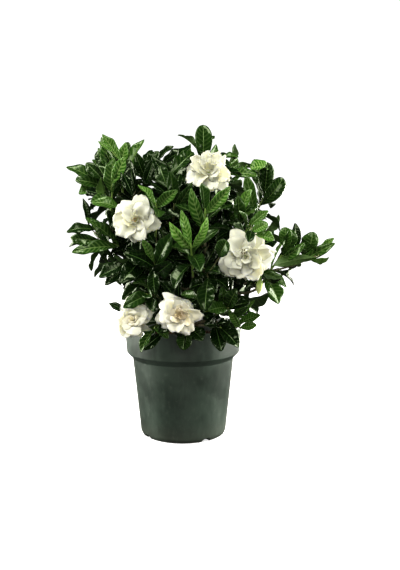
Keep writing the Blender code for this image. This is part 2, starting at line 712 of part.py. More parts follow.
def make_pot(finish):
    """Tapered wall, a wide collar with a chamfer under it, a rolled rim, and notches that drain the heel."""
    profile = (
        (0, 0),
        (FOOT_RADIUS, 0),
        (HEEL_RADIUS - 2.4 * MM, 2.4 * MM),
        (HEEL_RADIUS, HEEL),
        (SHOULDER_RADIUS, SHOULDER),
        (COLLAR_LOW_RADIUS, COLLAR_LOW),
        (RIM_RADIUS, POT_HEIGHT - 3 * MM),
        (RIM_RADIUS - 0.4 * MM, POT_HEIGHT),
        (RIM_RADIUS - 2.6 * MM, POT_HEIGHT),
        (inner_radius(POT_HEIGHT - 3 * MM), POT_HEIGHT - 4 * MM),
        (inner_radius(COLLAR_LOW), COLLAR_LOW),
        (inner_radius(SHOULDER - 0.01 * MM), SHOULDER),
        (inner_radius(HEEL), HEEL),
        (HEEL_RADIUS - 7 * MM, FLOOR),
        (0, FLOOR),
    )
    pot = lathe("pot", profile, POT_SIDES, finish)
    cutters = bpy.data.collections.new("notches")
    for k in range(NOTCH_COUNT):
        bm = bmesh.new()
        bmesh.ops.create_cone(bm, cap_ends=True, segments=8, radius1=0.5, radius2=0.5, depth=1)
        turned = Matrix.Rotation(NOTCH_TURN + 2 * math.pi * k / NOTCH_COUNT, 4, "Z")
        stretched = Matrix.Diagonal((30 * MM, NOTCH_WIDTH, 2 * NOTCH_HEIGHT, 1))
        lying = Matrix.Rotation(math.pi / 2, 4, "Y") @ Matrix.Rotation(math.pi / 8, 4, "Z")
        bm.transform(turned @ Matrix.Translation((HEEL_RADIUS - 3 * MM, 0, 0)) @ stretched @ lying)
        mesh = bpy.data.meshes.new("notch")
        bm.to_mesh(mesh)
        bm.free()
        cutters.objects.link(bpy.data.objects.new("notch", mesh))
    join(pot, cutters, "DIFFERENCE")


def join(target, collection, operation, solver="EXACT"):
    """Applies one Boolean with a collection to the target, and removes the collection's objects."""
    bpy.context.scene.collection.children.link(collection)
    modifier = target.modifiers.new("join", "BOOLEAN")
    modifier.operation = operation
    modifier.solver = solver
    modifier.operand_type = "COLLECTION"
    modifier.collection = collection
    bpy.context.view_layer.update()
    graph = bpy.context.evaluated_depsgraph_get()
    joined = bpy.data.meshes.new_from_object(target.evaluated_get(graph))
    target.modifiers.clear()
    target.data = joined
    for piece in list(collection.objects):
        bpy.data.objects.remove(piece)
    bpy.data.collections.remove(collection)


def make_soil(finish):
    """Potting mix that fills the pot to under its rim, with a plain hole for the foot of the trunk."""
    draw = random.Random(SEED)
    gap = 1.5 * SEAT_GAP
    hole = (TRUNK_RADIUS + SEAT_GAP) / math.cos(math.pi / POT_SIDES)
    profile = (
        (0, FLOOR + gap),
        (HEEL_RADIUS - 8 * MM, FLOOR + gap),
        (inner_radius(HEEL) - 2 * gap, HEEL + gap),
        (inner_radius(SHOULDER - 0.01 * MM) - gap, SHOULDER + gap),
        (inner_radius(COLLAR_LOW) - gap, COLLAR_LOW + gap),
        (inner_radius(SOIL_TOP) - gap, SOIL_TOP - 3 * MM),
        (0.62 * RIM_RADIUS, SOIL_TOP - 1 * MM),
        (0.3 * RIM_RADIUS, SOIL_TOP + 1 * MM),
        (hole, SOIL_TOP),
        (hole, SOIL_TOP - TRUNK_DEPTH - SEAT_GAP),
        (0, SOIL_TOP - TRUNK_DEPTH - SEAT_GAP),
    )
    soil = lathe("soil", profile, POT_SIDES, finish)
    for vertex in soil.data.vertices:
        radius = math.hypot(vertex.co.x, vertex.co.y)
        if vertex.co.z > COLLAR_LOW + 5 * MM and 0.25 * RIM_RADIUS < radius < 0.7 * RIM_RADIUS:
            vertex.co.z += draw.uniform(-1, 1) * SOIL_LUMP


def make_wood(stems, branches, finish):
    """The trunk's foot, the main stems and a branch to each shoot, joined in one body."""
    trunk = Path(UP * (SOIL_TOP - TRUNK_DEPTH), UP * SOIL_TOP, UP * (SOIL_TOP + TRUNK_RISE))
    wood = put("woody_stems", *tube(trunk, (TRUNK_RADIUS, 0.85 * TRUNK_RADIUS), TRUNK_SIDES, 2), finish)
    pieces = bpy.data.collections.new("stems")
    tubes = [tube(path, (STEM_RADIUS, STEM_TOP_RADIUS), 5, 4) for path in stems]
    tubes += [branch_tube(path) for path in branches]
    for points, faces in tubes:
        piece = put("stem", points, faces, finish)
        bpy.context.scene.collection.objects.unlink(piece)
        pieces.objects.link(piece)
    join(wood, pieces, "UNION", "MANIFOLD")


def make_grown(name, points, rings, blades, finish):
    """A twig or a core with its blades, each of which grows out of one of its sides."""
    points = list(points)
    sides = len(rings[0])
    faces = [tuple(reversed(range(sides))), tuple(range(len(points) - sides, len(points)))]
    for base in range(0, sides * (len(rings) - 1), sides):
        for k in range(sides):
            corners = quad(base, k, sides)
            blade = blades.get(corners)
            if blade is None:
                faces += split(*corners)
                continue
            low_right, low_left, high_left, high_right = corners
            index = [low_left, high_left, high_right, low_right]
            stations = len(KINDS[blade.kind].stations)
            index += range(len(points), len(points) + 4 * stations + 1)
            points += blade_points(blade)[4:]
            faces += [tuple(index[corner] for corner in face) for face in blade_triangles(1 + stations)]
    put(name, points, faces, finish)


def main():
    for leftover in list(bpy.data.objects):
        bpy.data.objects.remove(leftover)
    leaf_finish = material("leaf", (0.035, 0.13, 0.025), 0.35)
    petal_finish = material("petal", (0.85, 0.82, 0.68), 0.55)
    bud_finish = material("bud", (0.55, 0.66, 0.3), 0.5)
    wood_finish = material("bark", (0.13, 0.1, 0.07), 0.85)
    stems, branches, blooms, buds, sprays = grow_plant()
    make_pot(material("pot", (0.035, 0.065, 0.045), 0.45))
    make_soil(material("soil", (0.05, 0.035, 0.025), 0.95))
    make_wood(stems, branches, wood_finish)
    for name, points, rings, blades in sprays:
        make_grown(name, points, rings, blades, leaf_finish)
    for name, points, rings, blades in blooms:
        make_grown(name, points, rings, blades, petal_finish)
    for name, rings in buds:
        put(name, *bands(rings), bud_finish)


if __name__ == "__main__":
    main()
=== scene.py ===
"""Looks of a potted gardenia: fine leaves, blooms, stems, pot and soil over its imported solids."""

import functools
import json
import math
import random
from collections import namedtuple

import bmesh
import bpy
import numpy as np
from mathutils import Matrix, Vector
from mathutils.bvhtree import BVHTree

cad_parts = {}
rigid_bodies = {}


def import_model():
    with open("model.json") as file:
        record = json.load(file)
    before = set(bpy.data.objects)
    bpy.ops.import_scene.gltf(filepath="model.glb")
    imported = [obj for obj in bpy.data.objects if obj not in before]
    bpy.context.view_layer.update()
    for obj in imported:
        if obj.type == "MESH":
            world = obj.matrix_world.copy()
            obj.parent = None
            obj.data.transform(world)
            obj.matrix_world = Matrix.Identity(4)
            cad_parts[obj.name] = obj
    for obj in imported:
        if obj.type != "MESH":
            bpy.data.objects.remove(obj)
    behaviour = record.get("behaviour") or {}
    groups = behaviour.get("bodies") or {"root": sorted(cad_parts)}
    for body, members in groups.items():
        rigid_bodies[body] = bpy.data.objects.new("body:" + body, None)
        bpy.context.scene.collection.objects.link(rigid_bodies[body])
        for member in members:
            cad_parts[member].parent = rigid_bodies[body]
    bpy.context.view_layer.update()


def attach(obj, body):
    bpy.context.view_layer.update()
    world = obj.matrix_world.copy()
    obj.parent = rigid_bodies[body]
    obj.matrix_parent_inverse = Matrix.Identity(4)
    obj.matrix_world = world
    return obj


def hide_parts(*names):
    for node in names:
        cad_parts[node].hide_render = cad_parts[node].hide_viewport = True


MM = 0.001
UP = Vector((0, 0, 1))
FRONT = Vector((0, -0.9, 0.45)).normalized()

# Pot
POT_SIDES = 32
POT_HEIGHT = 208 * MM
WALL = 1.8 * MM
RIM_RADIUS = 109 * MM
COLLAR_LOW_RADIUS = 105.5 * MM
COLLAR_LOW = 158 * MM
SHOULDER_RADIUS = 94.5 * MM
SHOULDER = 147 * MM
HEEL_RADIUS = 80 * MM
HEEL = 8 * MM
FOOT_RADIUS = 73 * MM
FLOOR = 4 * MM
NOTCH_COUNT = 4
NOTCH_TURN = math.radians(34)
NOTCH_WIDTH = 20 * MM
NOTCH_HEIGHT = 8 * MM

# Soil and woody frame
SEAT_GAP = 0.3 * MM
SOIL_TOP = 178 * MM
TRUNK_RADIUS = 11 * MM
TRUNK_DEPTH = 60 * MM
TRUNK_RISE = 12 * MM
STEM_RADIUS = 5.0 * MM
STEM_TOP_RADIUS = 3.0 * MM
BRANCH_RADIUS = 2.6 * MM
TWIG_RADIUS = 2.1 * MM
TWIG_TAPER = 0.75

# Shoots and leaves
SEED = 32
WHORL_LEAVES = 3
WHORL_SPACING = 17 * MM
WHORL_HEIGHT = 3.2 * MM
TWIG_FOOT = 14 * MM
BLOOM_TWIG = 62 * MM
BUD_TWIG = 50 * MM
NECK = 6 * MM
LEAF_WIDTH_SHARE = 0.48
LEAF_THICKNESS = 1.2 * MM
PETAL_THICKNESS = 1.1 * MM
CLEARANCE = 0.35 * MM
SPINE_STEPS = 24
TRIES = 40
SET_TRIES = 200
SIDES_TRIED = 5
MISS = 0.15 * MM
STALK_WIDTH = 0.11

# Blooms and buds
CORE_SIDES = 6
CORE_LENGTH = 16 * MM
BUD_LENGTH = 30 * MM
BUD_RADIUS = 6.0 * MM

# Main stems: where each one ends, in millimetres.
STEMS = (
    (-75, -55, 400),
    (-30, -90, 360),
    (45, -85, 370),
    (110, -40, 330),
    (15, -20, 430),
    (-60, 30, 410),
    (20, 75, 400),
    (85, 45, 400),
)

# Blooms: eye in millimetres, the way it faces, size, turn in degrees, and set leaf tips from the eye.
BLOOMS = (
    ((-73, -175, 410), (-0.15, -1.0, 0.12), 1.06, 10, ()),
    ((45, -150, 490), (-0.1, -0.85, 0.4), 1.0, 0, ()),
    ((106, -190, 352), (0.1, -1.0, -0.05), 1.16, 25, ((-52, -6, 16),)),
    ((-2, -180, 256), (0.1, -1.0, -0.05), 1.0, 15, ()),
    ((-81, -150, 240), (-0.2, -0.9, -0.4), 0.92, 0, ((-22, -8, 34), (-43, 5, 36))),
    ((-95, 130, 430), (-0.55, 0.8, 0.3), 0.95, 0, ()),
    ((70, 150, 340), (0.4, 0.9, 0.1), 1.0, 20, ()),
)

# Buds: foot in millimetres and the way it points.
BUDS = (
    ((131, -165, 316), (-0.1, -0.35, -0.9)),
)

# Shoots without a flower: top whorl in millimetres, heading, whorls, leaf length in millimetres, and where
# the tips of its set leaves lie from the top whorl. The other leaves follow the rule for a whorl.
SHOOTS = (
    ((37, -60, 522), (0.0, -0.1, 1.0), 3, 66, ((0, -8, 50), (24, -6, 20), (-22, -5, 20))),
    ((-113, -60, 496), (-0.2, -0.2, 1.0), 3, 62,
     ((-28, -5, 62), (-40, -10, 44), (16, -15, 49), (50, 0, 50))),
    ((-150, -50, 470), (-0.85, -0.2, 0.35), 3, 66,
     ((-56, -5, 30), (-40, -20, 12), (-30, -22, -20), (-8, -25, 40))),
    ((-148, -80, 371), (-0.95, -0.25, 0.2), 3, 68,
     ((-60, -5, 12), (-48, -15, -18), (-12, -20, 38), (-20, 0, 42))),
    ((17, -190, 369), (-0.05, -0.6, 0.75), 3, 66, ((-38, -30, 41), (24, -20, 58), (-18, 0, 58))),
    ((232, -40, 338), (0.85, -0.15, 0.4), 2, 60,
     ((3, -15, 46), (47, -20, 28), (-58, -20, -10), (-50, -30, 4), (-16, -12, 34), (30, -28, 10))),
    ((152, 0, 448), (0.45, -0.15, 0.8), 3, 62, ((-22, 0, 66), (2, -12, 60), (30, -5, 38), (-34, -5, 40))),
    ((-43, -160, 333), (-0.05, -0.75, 0.6), 3, 62,
     ((-20, -25, 52), (33, -25, 56), (26, -30, 12), (-50, -20, 26))),
    ((-93, -120, 336), (-0.7, -0.45, -0.3), 3, 66, ((-53, -15, -27), (-38, -5, -40), (-12, -22, -34))),
    ((-120, -90, 458), (0.1, -0.4, 0.9), 3, 66, ((-34, -30, -20), (6, -22, 56), (-24, -15, 34))),
    ((-40, -170, 433), (0.05, -0.6, 0.75), 3, 56, ((-28, -20, 36), (34, -22, 28), (13, -30, -24))),
    ((-9, -140, 455), (0.1, -0.5, 0.8), 3, 50, ((-9, -20, 36), (26, -20, 22))),
    ((-26, -100, 475), (0.0, -0.35, 0.95), 3, 66, ((-24, -25, 42), (44, -10, 46), (10, 5, 56))),
    ((-67, -20, 493), (-0.1, -0.05, 1.0), 3, 60, ((-18, -12, 34), (26, -10, 34))),
    ((80, -90, 487), (0.75, -0.3, 0.45), 3, 60, ((52, -15, -4), (24, 5, 30), (40, -8, 20))),
    ((104, -130, 423), (0.2, -0.5, 0.8), 3, 52, ((12, -18, 40), (-12, -25, 28), (28, -20, 12))),
    ((40, -180, 425), (0.0, -0.6, 0.75), 3, 60, ((42, -25, 38), (-27, -20, 40))),
    ((98, -80, 410), (0.85, -0.35, 0.2), 3, 58, ((48, -12, 6), (20, -30, 24))),
    ((112, -160, 400), (0.25, -0.7, 0.6), 3, 46,
     ((30, -18, 8), (38, -14, -14), (-3, -48, -22), (34, 8, 24))),
    ((179, -80, 348), (0.6, -0.25, 0.75), 3, 56, ((7, -20, 44), (24, 0, 46), (40, -10, 22))),
    ((145, -145, 312), (0.6, -0.55, -0.35), 2, 58, ((28, -15, -42), (36, -10, -14))),
    ((38, -175, 331), (0.05, -0.9, 0.3), 3, 48, ((3, -18, 34), (26, -25, -6), (-20, -22, -2))),
    ((45, -140, 300), (0.0, -0.75, -0.3), 3, 66, ((-4, -22, -45), (34, -25, -8), (-38, -20, -4))),
    ((80, -150, 262), (0.35, -0.8, 0.2), 3, 60,
     ((-36, -25, 0), (14, -25, 34), (-10, -15, 38), (36, -20, 14))),
    ((98, -112, 232), (0.35, -0.45, 0.8), 3, 54,
     ((30, -10, 38), (16, -6, 48), (38, -18, 14), (-12, -28, 24))),
    ((66, -135, 226), (0.35, -0.85, -0.1), 2, 58, ((32, -22, -30), (4, -26, -36), (-28, -25, 8))),
    ((-45, -135, 226), (-0.3, -0.85, -0.25), 2, 62, ((-28, -20, -42), (22, -28, -16), (-40, -15, -12))),
    ((12, -135, 224), (0.05, -0.9, -0.3), 1, 60, ((-9, -20, -38), (26, -22, -18), (-34, -15, -8))),
    ((-61, -95, 305), (-0.55, -0.6, -0.1), 3, 64, ((-43, -20, -34), (16, -32, -28), (-30, -25, 20))),
    ((-56, -145, 284), (-0.5, -0.75, 0.2), 3, 56, ((-40, -20, -20), (-30, -15, 22))),
)
BACK_SHOOTS = 11
BACK_LEAF = 72 * MM
CROWN_CENTRE = 370 * MM
CROWN_RISE = 185 * MM
CROWN_RADIUS = 165 * MM
GOLDEN = 0.618034

# A blade's root is one point or the four corners of a face, and droop, curl, fold and twist are angles.
Blade = namedtuple("Blade", "kind root along side up length width droop curl fold twist sway")
Path = namedtuple("Path", "start bend end")
Shoot = namedtuple("Shoot", "path tip_kind whorls leaf_length roll set_tips")


# Geometry shared by everything that grows


def blend(a, b, t):
    return a + (b - a) * t


def on_path(path, t):
    """The point at t from 0 to 1 along a quadratic curve."""
    return blend(blend(path.start, path.bend, t), blend(path.bend, path.end, t), t)


def along_path(path, spots):
    return [on_path(path, t) for t in spots]


def heading_on(path, t):
    return blend(path.bend - path.start, path.end - path.bend, t).normalized()


def across(heading):
    """Two directions square to a heading and to each other."""
    reference = UP if abs(heading.z) < 0.95 else Vector((0, -1, 0))
    side = heading.cross(reference).normalized()
    return side, heading.cross(side)


def around(heading, angle):
    """The direction square to a heading at this angle round it."""
    first, second = across(heading)
    return first * math.cos(angle) + second * math.sin(angle)


def ring(centre, heading, radius, sides, turn):
    """Corners of a regular polygon, counter-clockwise round the heading."""
    return [centre + radius * around(heading, turn + 2 * math.pi * k / sides) for k in range(sides)]


def leaf_outline(t):
    """Half width over the greatest: a wedge-shaped base, widest past the middle, and a pointed end."""
    return max(STALK_WIDTH * (1 - t), 3.21 * t**0.95 * (1 - t) ** 0.75)


def petal_outline(t):
    """Half width over the greatest: a narrow claw that broadens to a round end."""
    widening = min(1.0, t / 0.6)
    closing = max(0.0, (t - 0.6) / 0.4)
    return (0.15 + 0.85 * math.sin(widening * math.pi / 2) ** 1.4) * math.sqrt(max(0.0, 1 - closing**2.4))


# For each kind of blade: its outline, its thickness, and the spine steps at which its solid has a section.
Kind = namedtuple("Kind", "outline thickness stations")
KINDS = {
    "leaf": Kind(leaf_outline, LEAF_THICKNESS, (7, 14, 20)),
    "small leaf": Kind(leaf_outline, LEAF_THICKNESS, (9, 17)),
    "petal": Kind(petal_outline, PETAL_THICKNESS, (4, 13, 21)),
    "heart petal": Kind(petal_outline, PETAL_THICKNESS, (9, 19)),
}


def spine(blade):
    """Centre, side and upper normal at even steps along a blade."""
    centre = sum(blade.root, Vector()) / len(blade.root)
    found = []
    for k in range(SPINE_STEPS + 1):
        t = k / SPINE_STEPS
        pitch = blade.droop * t + blade.curl * t**3
        along = blade.along * math.cos(pitch) - blade.up * math.sin(pitch)
        up = blade.up * math.cos(pitch) + blade.along * math.sin(pitch)
        roll = blade.twist * t
        side = blade.side * math.cos(roll) + up * math.sin(roll)
        normal = up * math.cos(roll) - blade.side * math.sin(roll)
        found.append((centre + blade.side * (blade.sway * blade.length * t * t), side, normal))
        centre = centre + along * (blade.length / SPINE_STEPS)
    return found


def blade_points(blade, swell=0.0):
    """Root corners, then left, top, right and bottom at each station, then the tip."""
    kind = KINDS[blade.kind]
    along = spine(blade)
    found = list(blade.root)
    for k in kind.stations:
        centre, side, normal = along[k]
        half = blade.width / 2 * kind.outline(k / SPINE_STEPS) + swell
        lift = normal * (half * math.sin(blade.fold))
        reach = side * (half * math.cos(blade.fold))
        middle = normal * (kind.thickness / 2 + swell)
        found += [centre + reach + lift, centre + middle, centre - reach + lift, centre - middle]
    return found + [along[-1][0]]


def blade_triangles(rings):
    """Triangles over that many rings of four and a tip. Both faces are split alike, so they can't cross."""
    found = []
    for first in range(0, 4 * (rings - 1), 4):
        left, top, right, bottom = range(first, first + 4)
        for edge, middle, turned in ((left, top, 0), (right, top, 1), (right, bottom, 0), (left, bottom, 1)):
            near = (edge, middle, edge + 4)
            far = (middle, middle + 4, edge + 4)
            found += [near[::-1], far[::-1]] if turned else [near, far]
    last = 4 * (rings - 1)
    found += [(last + k, last + (k + 1) % 4, last + 4) for k in range(4)]
    return found


def tube(path, radii, sides, steps):
    """Points and faces of a closed tube along a path."""
    spots = [k / steps for k in range(steps + 1)]
    rings = [ring(on_path(path, t), heading_on(path, t), blend(*radii, t), sides, 0) for t in spots]
    sections = range(0, sides * steps, sides)
    faces = [quad(base, k, sides) for base in sections for k in range(sides)]
    return [p for one in rings for p in one], faces + lids(sides, steps + 1)


def branch_tube(path):
    steps = 2 if (path.end - path.start).length < 80 * MM else 3
    return tube(path, (BRANCH_RADIUS, TWIG_RADIUS), 4, steps)


class Thicket:
    """Everything placed so far, to keep a new piece clear of it."""

    def __init__(self):
        self.placed = []

    def add(self, owner, points, faces):
        self.placed.append((owner, bounds(points), BVHTree.FromPolygons(points, faces), points, faces))

    def is_clear(self, owner, points, faces):
        """Whether these faces cross nothing. In one owner, faces that share a corner may touch."""
        low, high = bounds(points)
        tree = BVHTree.FromPolygons(points, faces)
        for other, (other_low, other_high), other_tree, other_points, other_faces in self.placed:
            if any(low[k] > other_high[k] or high[k] < other_low[k] for k in range(3)):
                continue
            crossings = tree.overlap(other_tree)
            if crossings and other != owner:
                return False
            for mine, theirs in crossings:
                corners = [other_points[k] for k in other_faces[theirs]]
                if not any(points[k] in corners for k in faces[mine]):
                    return False
        return True


def bounds(points):
    return [min(p[k] for p in points) for k in range(3)], [max(p[k] for p in points) for k in range(3)]


# Layout of the plant


def over_rim(point):
    """Lifts a point that lies at the pot's rim until a twig there clears it."""
    if abs(math.hypot(point.x, point.y) - RIM_RADIUS) > 14 * MM:
        return point
    return Vector((point.x, point.y, max(point.z, POT_HEIGHT + 6 * MM)))


def arched(tip, heading, length):
    """A twig's path to its tip: it leaves the branch more upright and bends over to its heading."""
    rising = (heading + 0.35 * UP).normalized()
    bend = tip - heading * (length / 2)
    return Path(over_rim(bend - rising * (length / 2)), over_rim(bend), tip)


def all_shoots():
    """The shoots that carry blooms, those that carry buds, the leafy ones, and those at the back."""
    found = []
    for eye, facing, _, _, set_tips in BLOOMS:
        facing = Vector(facing).normalized()
        tip = Vector(eye) * MM - facing * (CORE_LENGTH + SEAT_GAP)
        ends = [(Vector(eye) + Vector(end)) * MM for end in set_tips]
        found.append(Shoot(arched(tip, facing, BLOOM_TWIG), "bloom", 2, BLOOM_TWIG, 0.5, ends))
    for foot, pointing in BUDS:
        pointing = Vector(pointing).normalized()
        tip = Vector(foot) * MM - pointing * SEAT_GAP
        found.append(Shoot(arched(tip, pointing, BUD_TWIG), "bud", 1, BUD_TWIG, 0.2, ()))
    for k, (tip, heading, whorls, leaf, set_tips) in enumerate(SHOOTS):
        length = TWIG_FOOT + whorls * WHORL_SPACING
        path = arched(Vector(tip) * MM, Vector(heading).normalized(), length)
        ends = [(Vector(tip) + Vector(end)) * MM for end in set_tips]
        found.append(Shoot(path, "leaf", whorls, leaf * MM, 0.5 * k, ends))
    for k in range(BACK_SHOOTS):
        azimuth = math.radians(8 + 164 * (k * GOLDEN % 1))
        rise = 0.92 * (2 * (k + 0.5) / BACK_SHOOTS - 1)
        reach = CROWN_RADIUS * math.sqrt(1 - rise * rise * 0.8)
        outward = Vector((math.cos(azimuth), math.sin(azimuth), 0))
        tip = outward * reach + UP * (CROWN_CENTRE + CROWN_RISE * rise * 0.8)
        heading = (outward + UP * (0.25 + 0.9 * rise)).normalized()
        path = arched(tip, heading, TWIG_FOOT + 3 * WHORL_SPACING)
        found.append(Shoot(path, "leaf", 3, BACK_LEAF, 0.4 * k, ()))
    return found


def stem_paths():
    foot = UP * (SOIL_TOP + TRUNK_RISE * 0.4)
    found = []
    for top in STEMS:
        top = Vector(top) * MM
        lean = Vector((top.x, top.y, 0))
        bend = Vector((top.x * 0.55, top.y * 0.55, blend(foot.z, top.z, 0.45)))
        found.append(Path(foot + lean * 0.06, bend, top))
    return found


def branch_path(stems, shoot):
    """From the handiest point of a main stem to the foot of the shoot, ending in line with it."""
    foot = shoot.path.start
    rising = heading_on(shoot.path, 0)

    def cost(point):
        return (foot - point).length + 2 * max(0.0, point.z + 20 * MM - foot.z)

    candidates = [on_path(stem, k / 20) for stem in stems for k in range(4, 20)]
    origin = min(candidates, key=cost)
    return Path(origin, foot - rising * (0.45 * (foot - origin).length), foot)


def twig_rings(shoot):
    """Rings of three corners up a twig: its foot, then the low and high ring of each whorl, then its top."""
    path, length = shoot.path, (shoot.path.end - shoot.path.start).length
    flower = shoot.tip_kind != "leaf"
    top = length - (NECK if flower else WHORL_HEIGHT)
    spots = [SEAT_GAP / length]
    for k in reversed(range(shoot.whorls)):
        low = (top - k * WHORL_SPACING - WHORL_HEIGHT) / length
        spots += [low, low + WHORL_HEIGHT / length]
    spots.append(1.0)
    turns = [shoot.roll]
    for k in range(shoot.whorls):
        turns += [shoot.roll + math.pi / 3 * k] * 2
    turns.append(turns[-1])
    radii = [blend(TWIG_RADIUS, TWIG_TAPER * TWIG_RADIUS, t) for t in spots]
    radii[-1] = 3.4 * MM if flower else 0.4 * TWIG_RADIUS
    return [
        ring(on_path(path, t), heading_on(path, t), radius, WHORL_LEAVES, turn)
        for t, radius, turn in zip(spots, radii, turns)
    ]


def bands(rings):
    """Points and triangles of a closed stack of rings with the same number of corners."""
    sides = len(rings[0])
    faces = []
    for base in range(0, sides * (len(rings) - 1), sides):
        for a, b, c, d in (quad(base, k, sides) for k in range(sides)):
            faces += [(a, b, c), (a, c, d)]
    return [p for one in rings for p in one], faces + lids(sides, len(rings))


def quad(base, k, sides):
    """The corners of side k between the ring that starts at base and the next one."""
    following = (k + 1) % sides
    return base + k, base + following, base + sides + following, base + sides + k


def lids(sides, count):
    """The two faces that close a stack of that many rings."""
    return [tuple(reversed(range(sides))), tuple(range(sides * (count - 1), sides * count))]


def root_of(points, corners):
    """A blade's root: the corners of the face that it grows from, as left, top, right and bottom."""
    low_right, low_left, high_left, high_right = (points[k] for k in corners)
    return low_left, high_left, high_right, low_right


def fitted(thicket, owner, make, tries=TRIES):
    """The first of some blades, drawn by make(try), that is clear of everything placed, or None."""
    for attempt in range(tries):
        blade = make(attempt)
        faces = blade_triangles(1 + len(KINDS[blade.kind].stations))
        if thicket.is_clear(owner, blade_points(blade, CLEARANCE), faces):
            thicket.add(owner, blade_points(blade), faces)
            return blade
    return None


def set_leaf_maker(draw, shoot, target, roots):
    """Draws a leaf whose tip lies at the target and whose face turns to the front, from one root after
    another."""
    width = shoot.leaf_length * LEAF_WIDTH_SHARE * draw.uniform(0.94, 1.08)

    def make(attempt):
        root = roots[attempt % len(roots)]
        spread = 0.25 + 0.012 * attempt
        face = (FRONT + Vector([draw.uniform(-spread, spread) for _ in range(3)])).normalized()
        droop = draw.uniform(0.25, 0.8)
        curl = draw.uniform(0.0, 0.3)
        fold = math.radians(draw.uniform(9, 20))
        twist = draw.uniform(-0.25, 0.25)
        miss = Vector([draw.uniform(-1, 1) for _ in range(3)]) * (MISS * attempt)
        centre = sum(root, Vector()) / 4
        chord = target + miss - centre
        along = chord.normalized()
        up = (face - along * face.dot(along)).normalized()
        lift = droop / 2 + curl / 4
        raised = along * math.cos(lift) + up * math.sin(lift)
        along, up = raised, up * math.cos(lift) - along * math.sin(lift)
        length = chord.length * (1 + (droop + curl) ** 2 / 24)
        shrink = max(0.7, 1 - 0.003 * attempt)
        sway = draw.uniform(-0.05, 0.05)
        return Blade(
            "leaf", root, along, up.cross(along), up, length * shrink, width * shrink,
            droop, curl, fold, twist, sway,
        )

    return make


def leaf_maker(draw, shoot, whorl, outward, heading, root):
    """Draws a leaf for this place. Later tries turn, tilt and shorten it more."""
    age = shoot.whorls - 1 - whorl
    kind = "leaf" if age == 1 else "small leaf"
    tilt = math.radians((30, 58, 78, 86)[min(age, 3)]) + draw.uniform(-0.12, 0.12)
    if shoot.tip_kind != "leaf":
        tilt += 0.45
    length = shoot.leaf_length * (0.86, 1.0, 1.04, 1.0)[min(age, 3)] * draw.uniform(0.86, 1.1)
    droop = (0.35, 0.7, 0.9, 1.0)[min(age, 3)] * draw.uniform(0.6, 1.3)
    fold = math.radians((26, 17, 13, 12)[min(age, 3)]) * draw.uniform(0.8, 1.25)

    def make(attempt):
        spread = min(0.6, 0.06 * attempt)
        pitch = tilt + draw.uniform(-1, 1) * spread
        swing = draw.uniform(-1, 1) * (0.08 + spread)
        shrink = max(0.55, 1 - 0.015 * attempt)
        out = (outward * math.cos(swing) + heading.cross(outward) * math.sin(swing)).normalized()
        along = heading * math.cos(pitch) + out * math.sin(pitch)
        up = heading * math.sin(pitch) - out * math.cos(pitch) + UP * 0.45
        up = (up - along * up.dot(along)).normalized()
        width = length * shrink * LEAF_WIDTH_SHARE * draw.uniform(0.9, 1.12)
        return Blade(
            kind, root, along, up.cross(along), up, length * shrink, width,
            droop, draw.uniform(-0.1, 0.3), fold, draw.uniform(-0.3, 0.3), draw.uniform(-0.08, 0.08),
        )

    return make


def leaf_places(shoot, rings):
    """For each side of each whorl: its corners, whorl, outward direction, heading and root."""
    points = [p for one in rings for p in one]
    found = []
    for whorl in range(shoot.whorls):
        low, high = rings[1 + 2 * whorl], rings[2 + 2 * whorl]
        heading = (sum(high, Vector()) - sum(low, Vector())).normalized()
        centre = (sum(high, Vector()) + sum(low, Vector())) / 6
        for k in range(WHORL_LEAVES):
            corners = quad(WHORL_LEAVES * (1 + 2 * whorl), k, WHORL_LEAVES)
            root = root_of(points, corners)
            outward = sum(root, Vector()) / 4 - centre
            outward = (outward - heading * outward.dot(heading)).normalized()
            found.append((corners, whorl, outward, heading, root))
    return found


def grow_set_leaves(thicket, draw, owner, shoot, places):
    """Gives each set tip a leaf, from a free side that faces it and has room. Returns the leaves and the
    sides left."""
    blades, free = {}, list(places)
    for target in shoot.set_tips:
        way = (target - shoot.path.end).normalized()
        ranked = sorted(free, key=lambda one: -one[2].dot(way) - 0.2 * one[1])
        roots = [place[4] for place in ranked[:SIDES_TRIED]]
        blade = fitted(thicket, owner, set_leaf_maker(draw, shoot, target, roots), SET_TRIES)
        if blade:
            place = next(one for one in ranked if one[4] == blade.root)
            blades[place[0]] = blade
            free.remove(place)
    return blades, free


def grow_other_leaves(thicket, draw, owner, shoot, free):
    """A blade, or None where there is no room, for each side that is still free."""
    return {
        corners: fitted(thicket, owner, leaf_maker(draw, shoot, whorl, outward, heading, root))
        for corners, whorl, outward, heading, root in free
    }


# A plain stand-in for the pot's outside, to keep leaves off it: heights and radii.
POT_OUTLINE = (
    (0, HEEL_RADIUS), (SHOULDER, SHOULDER_RADIUS), (COLLAR_LOW, COLLAR_LOW_RADIUS), (POT_HEIGHT, RIM_RADIUS),
)
BLOOM_WHORLS = (
    # kind, petals that grow, tilt from the axis, length, width, droop, curl, fold, roll
    ("petal", 6, 88, 41, 31, 0.35, 0.5, 9, 15),
    ("petal", 6, 62, 33, 27, -0.1, 0.6, 12, 16),
    ("heart petal", 6, 36, 25, 19, -0.4, 0.5, 14, 17),
    ("heart petal", 3, 20, 17, 12, -0.35, 0.3, 16, 16),
)
CORE_RADII = (2.3, 2.7, 4.6, 5.2, 4.4, 3.0)
CORE_SPOTS = (0.0, 0.55, 0.7, 0.84, 0.96, 1.06)


def core_rings(eye, facing, size, turn):
    """Rings of six corners up a bloom's tube and heart. Each is turned half a side from the last."""
    foot = eye - facing * CORE_LENGTH
    found = []
    for k, (spot, radius) in enumerate(zip(CORE_SPOTS, CORE_RADII)):
        centre = foot + facing * (CORE_LENGTH * spot)
        found.append(ring(centre, facing, radius * MM * size, CORE_SIDES, turn + math.pi / CORE_SIDES * k))
    return found


